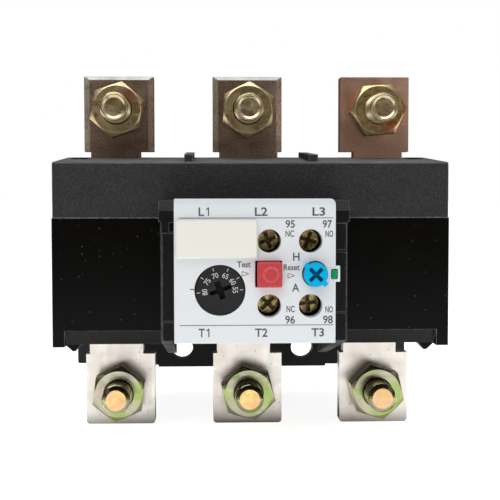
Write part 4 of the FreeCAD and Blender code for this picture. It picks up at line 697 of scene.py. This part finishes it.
def node_parts(node):
    """The boxes of a node's separate solids, ordered from left to right."""
    piece = copied(node)
    edit(piece)
    bpy.ops.mesh.separate(type="LOOSE")
    leave_edit()
    parts = set(bpy.context.selected_objects) | {piece}
    boxes = [mesh_box(part) for part in parts]
    for part in parts:
        bpy.data.objects.remove(part)
    return sorted(boxes, key=lambda pair: pair[0].x)


def nuts(node, finish):
    """The node's nuts with crisp faces, their countersinks in shade."""
    middles = [(low + high) / 2 for low, high in node_parts(node)]
    piece = rounded(node, 0.12 * MM, finish=finish, smooth=METAL_SMOOTH)

    def in_countersink(centre, normal):
        middle = min(middles, key=lambda place: (place - centre).length)
        out = Vector((centre.x - middle.x, 0, centre.z - middle.z))
        return out.length < COUNTERSINK_REACH and normal.dot(out) < -0.2 * out.length

    paint(piece, SHADED_ZINC, in_countersink)
    return piece


def right_nut_front(centre, normal):
    return centre.x > 20 * MM and normal.y < -0.1


def lower_flank(centre, normal):
    return abs(normal.y) < 0.1 and normal.z < -0.2


def upper_flank(centre, normal):
    return abs(normal.y) < 0.1 and normal.z > 0.2


line_nuts = nuts("upper_nuts", LINE_ZINC)
paint(line_nuts, AMBER_ZINC, right_nut_front)
# Painted shade on the line nuts' lower flanks.
paint(line_nuts, FLANK_SHADE_ZINC, lower_flank)
load_nuts = nuts("lower_nuts", LOAD_ZINC)
# Painted shade on the load nuts' upper flanks.
paint(load_nuts, FLANK_SHADE_ZINC, upper_flank)


def threaded_shank(name, end, start, radius):
    """A rolled thread along Y from its end back to its start, at X = Z = 0."""
    turns = int((start - end) / PITCH) + 2
    bpy.ops.mesh.primitive_plane_add(size=1)
    thread = bpy.context.object
    thread.name = name + "_thread"
    edit(thread, "VERT")
    bpy.ops.mesh.delete(type="VERT")
    leave_edit()
    root = radius - THREAD_DEEP
    tooth = [(root, 0.0), (root, 0.14), (radius, 0.42), (radius, 0.58), (root, 0.86), (root, 1.0)]
    thread.data.from_pydata([(out, end - PITCH + along * PITCH, 0) for out, along in tooth],
                            [(k, k + 1) for k in range(len(tooth) - 1)], [])
    apply_modifier(thread, "SCREW", axis="Y", angle=math.tau, screw_offset=PITCH, iterations=turns,
                   steps=THREAD_STEPS, render_steps=THREAD_STEPS, use_merge_vertices=True,
                   merge_threshold=0.001 * MM)
    edit(thread)
    for plane in (end, start):
        bpy.ops.mesh.select_all(action="SELECT")
        below = plane == end
        bpy.ops.mesh.bisect(plane_co=(0, plane, 0), plane_no=(0, 1, 0), use_fill=True,
                            clear_inner=below, clear_outer=not below)
    bpy.ops.mesh.select_all(action="SELECT")
    bpy.ops.mesh.normals_make_consistent(inside=False)
    leave_edit()
    return thread


def stud_point(end, radius, tip, lead, dish):
    """The plain end of a stud: a chamfer, and a shallow dish where the rolling left one."""
    front, rear = end + lead, end + lead + POINT_LENGTH
    bpy.ops.mesh.primitive_cylinder_add(vertices=72, radius=radius, depth=rear - front,
                                        rotation=(math.radians(90), 0, 0),
                                        location=(0, (front + rear) / 2, 0))
    point = settle(bpy.context.object)
    pick_faces(point, lambda centre, normal: normal.y < -0.9)
    bpy.ops.mesh.inset(thickness=radius - tip)
    bpy.ops.transform.translate(value=(0, -lead, 0))
    if dish:
        bpy.ops.mesh.inset(thickness=DISH_RIM)
        bpy.ops.mesh.inset(thickness=DISH_SLOPE)
        bpy.ops.transform.translate(value=(0, dish, 0))
    leave_edit()
    apply_modifier(point, "BEVEL", width=POINT_ROUND, segments=3, limit_method="ANGLE",
                   angle_limit=math.radians(20))
    return point


def bolts(node, tip, lead, dish=0.0):
    """The node's bolts again, their shown ends with a real thread.

    tip is the radius of the end face, lead the chamfer's length and dish the depth of its hollow.
    """
    shapes = node_parts(node)
    body = copied(node)
    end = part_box(node)[0].y
    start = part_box(node.replace("bolts", "nuts"))[0].y + THREAD_IN_NUT
    master = join([threaded_shank(node, end + lead, start, STUD_RADIUS),
                   stud_point(end, STUD_RADIUS - POINT_CLEAR, tip, lead, dish)], node + "_shank")
    smooth_over(master, METAL_SMOOTH)
    edit(body)
    bpy.ops.mesh.select_all(action="SELECT")
    bpy.ops.mesh.bisect(plane_co=(0, start - SHANK_LAP, 0), plane_no=(0, 1, 0), use_fill=True,
                        clear_inner=True)
    leave_edit()
    apply_modifier(body, "BEVEL", width=HEAD_ROUND, segments=2, limit_method="ANGLE",
                   angle_limit=math.radians(40))
    smooth_over(body, METAL_SMOOTH)
    shanks = []
    for k, (low, high) in enumerate(shapes):
        copy = master.copy()
        copy.data = master.data.copy()
        bpy.context.scene.collection.objects.link(copy)
        centre = (low + high) / 2
        copy.data.transform(Matrix.Rotation(THREAD_TURN * k, 4, "Y"))
        copy.data.transform(Matrix.Translation((centre.x, 0, centre.z)))
        shanks.append(copy)
    bpy.data.objects.remove(master)
    piece = join([body] + shanks, node + "_finished")
    dress(piece, LINE_STUD if dish else LOAD_STUD, "root")
    if not dish:
        # A painted highlight on the lower half of the chamfer.
        paint(piece, CHAMFER_HIGHLIGHT_ZINC, lambda centre, normal: (centre.y < end + lead and normal.y < -0.3
                                                       and normal.z < 0))
        paint(piece, GOLD_TIP, lambda centre, normal: centre.y < end + END_FACE and normal.y < -0.95)
    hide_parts(node)


bolts("upper_bolts", tip=3.6 * MM, lead=0.35 * MM, dish=0.35 * MM)
bolts("lower_bolts", tip=2.85 * MM, lead=1.1 * MM)


# ---------------------------------------------------------------- print on the face and the dial

INK_DEPTH = 0.03 * MM
INK_LIFT = 0.4 * INK_DEPTH        # from the surface out to the middle of the ink
FACE_WEIGHT = 0.018               # how much the strokes of the letters are thickened
DIAL_WEIGHT = 0.006
face_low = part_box("face_plate")[0]
dial_low, dial_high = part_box("setting_dial")
dial_centre = Vector(((dial_low.x + dial_high.x) / 2, 0, (dial_low.z + dial_high.z) / 2))
NUMBER_RADIUS = 3.75 * MM
TICK_RADIUS = 5.3 * MM


def stand_up(obj, front, x, z, turn=0.0):
    """Stand a mesh made flat in X-Y on a plane that faces -Y, turned about its own middle."""
    place = (Matrix.Translation((x, front, z)) @ Matrix.Rotation(turn, 4, (0, -1, 0))
             @ Matrix.Rotation(math.radians(90), 4, "X"))
    obj.data.transform(place)
    return obj


def fit_flat(obj, width, height):
    """Bring a flat mesh to a size about its own middle."""
    low, high = mesh_box(obj)
    middle, size = (low + high) / 2, high - low
    obj.data.transform(Matrix.Diagonal((width / size.x, height / size.y, 1, 1))
                       @ Matrix.Translation((-middle.x, -middle.y, 0)))


def thicken_mark():
    """Give the flat mark in edit mode the ink's depth, half of it to each side."""
    bpy.ops.mesh.select_all(action="SELECT")
    bpy.ops.mesh.extrude_region_move(TRANSFORM_OT_translate={"value": (0, 0, INK_DEPTH)})
    bpy.ops.mesh.select_all(action="SELECT")
    bpy.ops.mesh.normals_make_consistent(inside=False)
    bpy.ops.transform.translate(value=(0, 0, -INK_DEPTH / 2))
    leave_edit()


def words(text, width, height, front, x, z, turn=0.0, weight=FACE_WEIGHT):
    """Raised print of a given size, centred on a place of the front."""
    bpy.ops.object.text_add()
    obj = bpy.context.object
    obj.data.body = text
    obj.data.align_x = "CENTER"
    obj.data.align_y = "CENTER"
    obj.data.extrude = INK_DEPTH / 2
    obj.data.offset = weight
    obj.data.resolution_u = 4
    take(obj)
    bpy.ops.object.convert(target="MESH")
    obj = bpy.context.object
    fit_flat(obj, width, height)
    return stand_up(obj, front, x, z, turn)


def bar_mark(width, height, front, x, z, turn=0.0):
    """A printed line: a thin plate with its corners taken off."""
    bpy.ops.mesh.primitive_plane_add(size=1)
    obj = bpy.context.object
    obj.scale = (width, height, 1)
    settle(obj)
    edit(obj, "VERT")
    bpy.ops.mesh.select_all(action="SELECT")
    bpy.ops.mesh.bevel(offset=min(width, height) * 0.25, segments=2, affect="VERTICES")
    thicken_mark()
    return stand_up(obj, front, x, z, turn)


def arrow_mark(width, height, line, front, x, z):
    """An outlined triangle that points to the right."""
    bpy.ops.mesh.primitive_circle_add(vertices=3, radius=1, fill_type="NGON")
    obj = bpy.context.object
    obj.rotation_euler.z = math.radians(-90)
    settle(obj)
    fit_flat(obj, width, height)
    edit(obj)
    bpy.ops.mesh.select_all(action="SELECT")
    bpy.ops.mesh.inset(thickness=line)
    bpy.ops.mesh.delete(type="FACE")
    thicken_mark()
    return stand_up(obj, front, x, z)


def on_face(across, up):
    """A place on the face, in millimetres from its lower left corner, as front, x and z."""
    return face_low.y - INK_LIFT, face_low.x + across * MM, face_low.z + up * MM


def face_print():
    """Terminal marks, rules, contact numbers and the words beside the buttons."""
    marks = []
    for text, across, up, width, height in (
            ("L", 6.7, 32.35, 1.35, 2.1), ("L2", 21.3, 32.35, 3.1, 2.1), ("L3", 35.4, 32.35, 3.1, 2.1),
            ("T", 6.7, 2.65, 1.5, 2.1), ("T2", 21.3, 2.65, 3.1, 2.1), ("T3", 35.2, 2.65, 3.1, 2.1),
            ("95", 28.4, 29.3, 2.3, 1.9), ("NC", 28.3, 26.95, 2.1, 1.6), ("97", 37.5, 29.3, 2.3, 1.9),
            ("NO", 38.0, 26.9, 1.9, 1.6), ("NC", 28.5, 8.45, 2.0, 1.6), ("96", 28.4, 5.8, 2.4, 2.0),
            ("NO", 38.0, 8.3, 1.9, 1.6), ("98", 37.7, 5.8, 2.4, 2.0), ("H", 29.9, 21.3, 1.6, 2.0),
            ("A", 29.75, 13.7, 1.8, 2.0), ("Test", 17.05, 19.45, 3.3, 1.5),
            ("Reset", 28.75, 18.7, 3.9, 1.5)):
        marks.append(words(text, width * MM, height * MM, *on_face(across, up)))
    for up in (32.35, 2.65):    # the figure 1 after the first L and T: a stem and its flag
        marks.append(bar_mark(0.28 * MM, 2.1 * MM, *on_face(8.45, up)))
        marks.append(bar_mark(0.80 * MM, 0.26 * MM, *on_face(8.15, up + 0.72), math.radians(42)))
    for left, right, up in ((1.3, 39.0, 30.8), (1.3, 39.1, 4.5)):
        marks.append(bar_mark((right - left) * MM, 0.16 * MM, *on_face((left + right) / 2, up)))
    marks.append(bar_mark(1.1 * MM, 0.26 * MM, *on_face(4.45, 13.35), math.radians(-4)))
    for across, up in ((17.5, 17.15), (28.75, 16.65)):
        marks.append(arrow_mark(1.9 * MM, 1.35 * MM, 0.14 * MM, *on_face(across, up)))
    dress(join(marks, "face_print"), FACE_INK, "root")


def dial_print():
    """White scale ticks and numbers, their tops outwards."""
    front = dial_low.y - INK_LIFT
    marks = []
    for text, angle in (("55", 1), ("60", 34), ("65", 69), ("70", 108), ("75", 146), ("80", 187)):
        turned = math.radians(angle)
        out = Vector((math.cos(turned), 0, math.sin(turned)))
        spot = dial_centre + out * NUMBER_RADIUS
        marks.append(words(text, 1.5 * MM, 1.3 * MM, front, spot.x, spot.z, turned - math.radians(90),
                           weight=DIAL_WEIGHT))
        spot = dial_centre + out * TICK_RADIUS
        marks.append(bar_mark(0.85 * MM, 0.17 * MM, front, spot.x, spot.z, turned))
    dress(join(marks, "dial_print"), DIAL_INK, "setting_dial")


face_print()
dial_print()


# ---------------------------------------------------------------- floor, light and camera

FLOOR_SIZE = 12.0
FLOOR_GAP = 0.02 * MM             # between the floor and the lowest point of the relay


def floor_finish():
    """White to the eye. To every other ray it glows in a bright ring round the relay, with a painted shadow
    under the relay and painted darkness far out, which the metal mirrors.
    """
    finish, tree, shader = new_finish("studio_floor", Roughness=0.9, Specular_IOR_Level=0.0)
    place = shader_node(tree, "TexCoord").outputs["Object"]
    level = shader_node(tree, "VectorMath", {0: place, 1: (0.4, 1, 0)}, operation="MULTIPLY")
    centre = shader_node(tree, "VectorMath", {0: level.outputs["Vector"], 1: (0, -0.045, 0)},
                         operation="DISTANCE").outputs["Value"]
    # For every ray but the camera's: painted shadow under the relay, a glowing ring, painted darkness far
    # out.
    glow_and_painted_shadow = steps(tree, centre, [(0.012, grey(0.04)), (0.023, grey(0.36)), (0.040, grey(1.0)),
                                 (0.36, grey(0.9)), (0.50, (0.05, 0.04, 0.035, 1))])
    seen = shader_node(tree, "LightPath").outputs["Is Camera Ray"]
    feed(tree, shader["Base Color"], blend_colour(tree, seen, blend_colour(tree, 0.8, grey(0), glow_and_painted_shadow),
                                                  grey(0.93)))
    feed(tree, shader["Emission Color"], blend_colour(tree, seen, blend_colour(tree, 0.76, grey(0), glow_and_painted_shadow),
                                                      grey(0.90)))
    shader["Emission Strength"].default_value = 1.0
    return finish


def studio():
    """A wide floor under the relay, and a world that is white to the eye and dim to all else."""
    bpy.ops.mesh.primitive_plane_add(size=FLOOR_SIZE, location=(0, 0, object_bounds()[0].z - FLOOR_GAP))
    floor = settle(bpy.context.object)
    floor.name = "studio_floor"
    floor.data.materials.append(floor_finish())
    floor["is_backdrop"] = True

    world = bpy.data.worlds.new("studio")
    bpy.context.scene.world = world
    world.use_nodes = True
    tree = world.node_tree
    background = tree.nodes["Background"]
    direction = shader_node(tree, "TexCoord").outputs["Generated"]
    split = shader_node(tree, "SeparateXYZ", {"Vector": direction})
    height = remap(tree, split.outputs["Z"], -1, 1)
    room = steps(tree, height, [(0.30, (0.60, 0.58, 0.55, 1)), (0.47, (0.16, 0.12, 0.10, 1)),
                                (0.53, (0.075, 0.050, 0.036, 1)), (0.64, (0.10, 0.075, 0.06, 1)),
                                (0.80, (0.36, 0.36, 0.36, 1))])
    seen = shader_node(tree, "LightPath").outputs["Is Camera Ray"]
    feed(tree, background.inputs["Color"], blend_colour(tree, seen, room, grey(1.0)))
    background.inputs["Strength"].default_value = 1.0


def soft_light(name, place, aim, size, power):
    """A soft rectangular lamp at a place, turned to shine at another."""
    data = bpy.data.lights.new(name, "AREA")
    data.shape = "RECTANGLE"
    data.size, data.size_y = size
    data.energy = power
    lamp = bpy.data.objects.new(name, data)
    bpy.context.scene.collection.objects.link(lamp)
    lamp.location = place
    lamp.rotation_euler = (aim - Vector(place)).to_track_quat("-Z", "Y").to_euler()


def camera(place, yaw, pitch, roll, lens):
    """A camera at a place, turned by yaw, pitch and roll in radians."""
    data = bpy.data.cameras.new("picture_camera")
    data.lens = lens
    data.sensor_width = 36
    data.clip_start, data.clip_end = 0.01, 50
    obj = bpy.data.objects.new("picture_camera", data)
    bpy.context.scene.collection.objects.link(obj)
    forward = Vector((math.sin(yaw) * math.cos(pitch), math.cos(yaw) * math.cos(pitch), math.sin(pitch)))
    obj.location = place
    obj.rotation_mode = "QUATERNION"
    obj.rotation_quaternion = forward.to_track_quat("-Z", "Y")
    obj.rotation_quaternion.rotate(Matrix.Rotation(roll, 3, forward).to_quaternion())
    bpy.context.scene.camera = obj


studio()
relay_middle = Vector((0, -0.06, 0.035))
soft_light("top_box", (-0.05, -0.50, 0.74), relay_middle, (0.8, 0.5), 2.8)
soft_light("key_box", (-0.40, -0.80, 0.60), relay_middle, (0.4, 0.4), 1.2)
soft_light("fill_box", (0.60, -0.85, 0.20), relay_middle, (0.4, 0.4), 0.5)
camera(Vector((-11.74, -385.66, 53.23)) * MM, yaw=0.038, pitch=-0.053, roll=0.001, lens=81.5)
bpy.context.scene.view_settings.view_transform = "Standard"
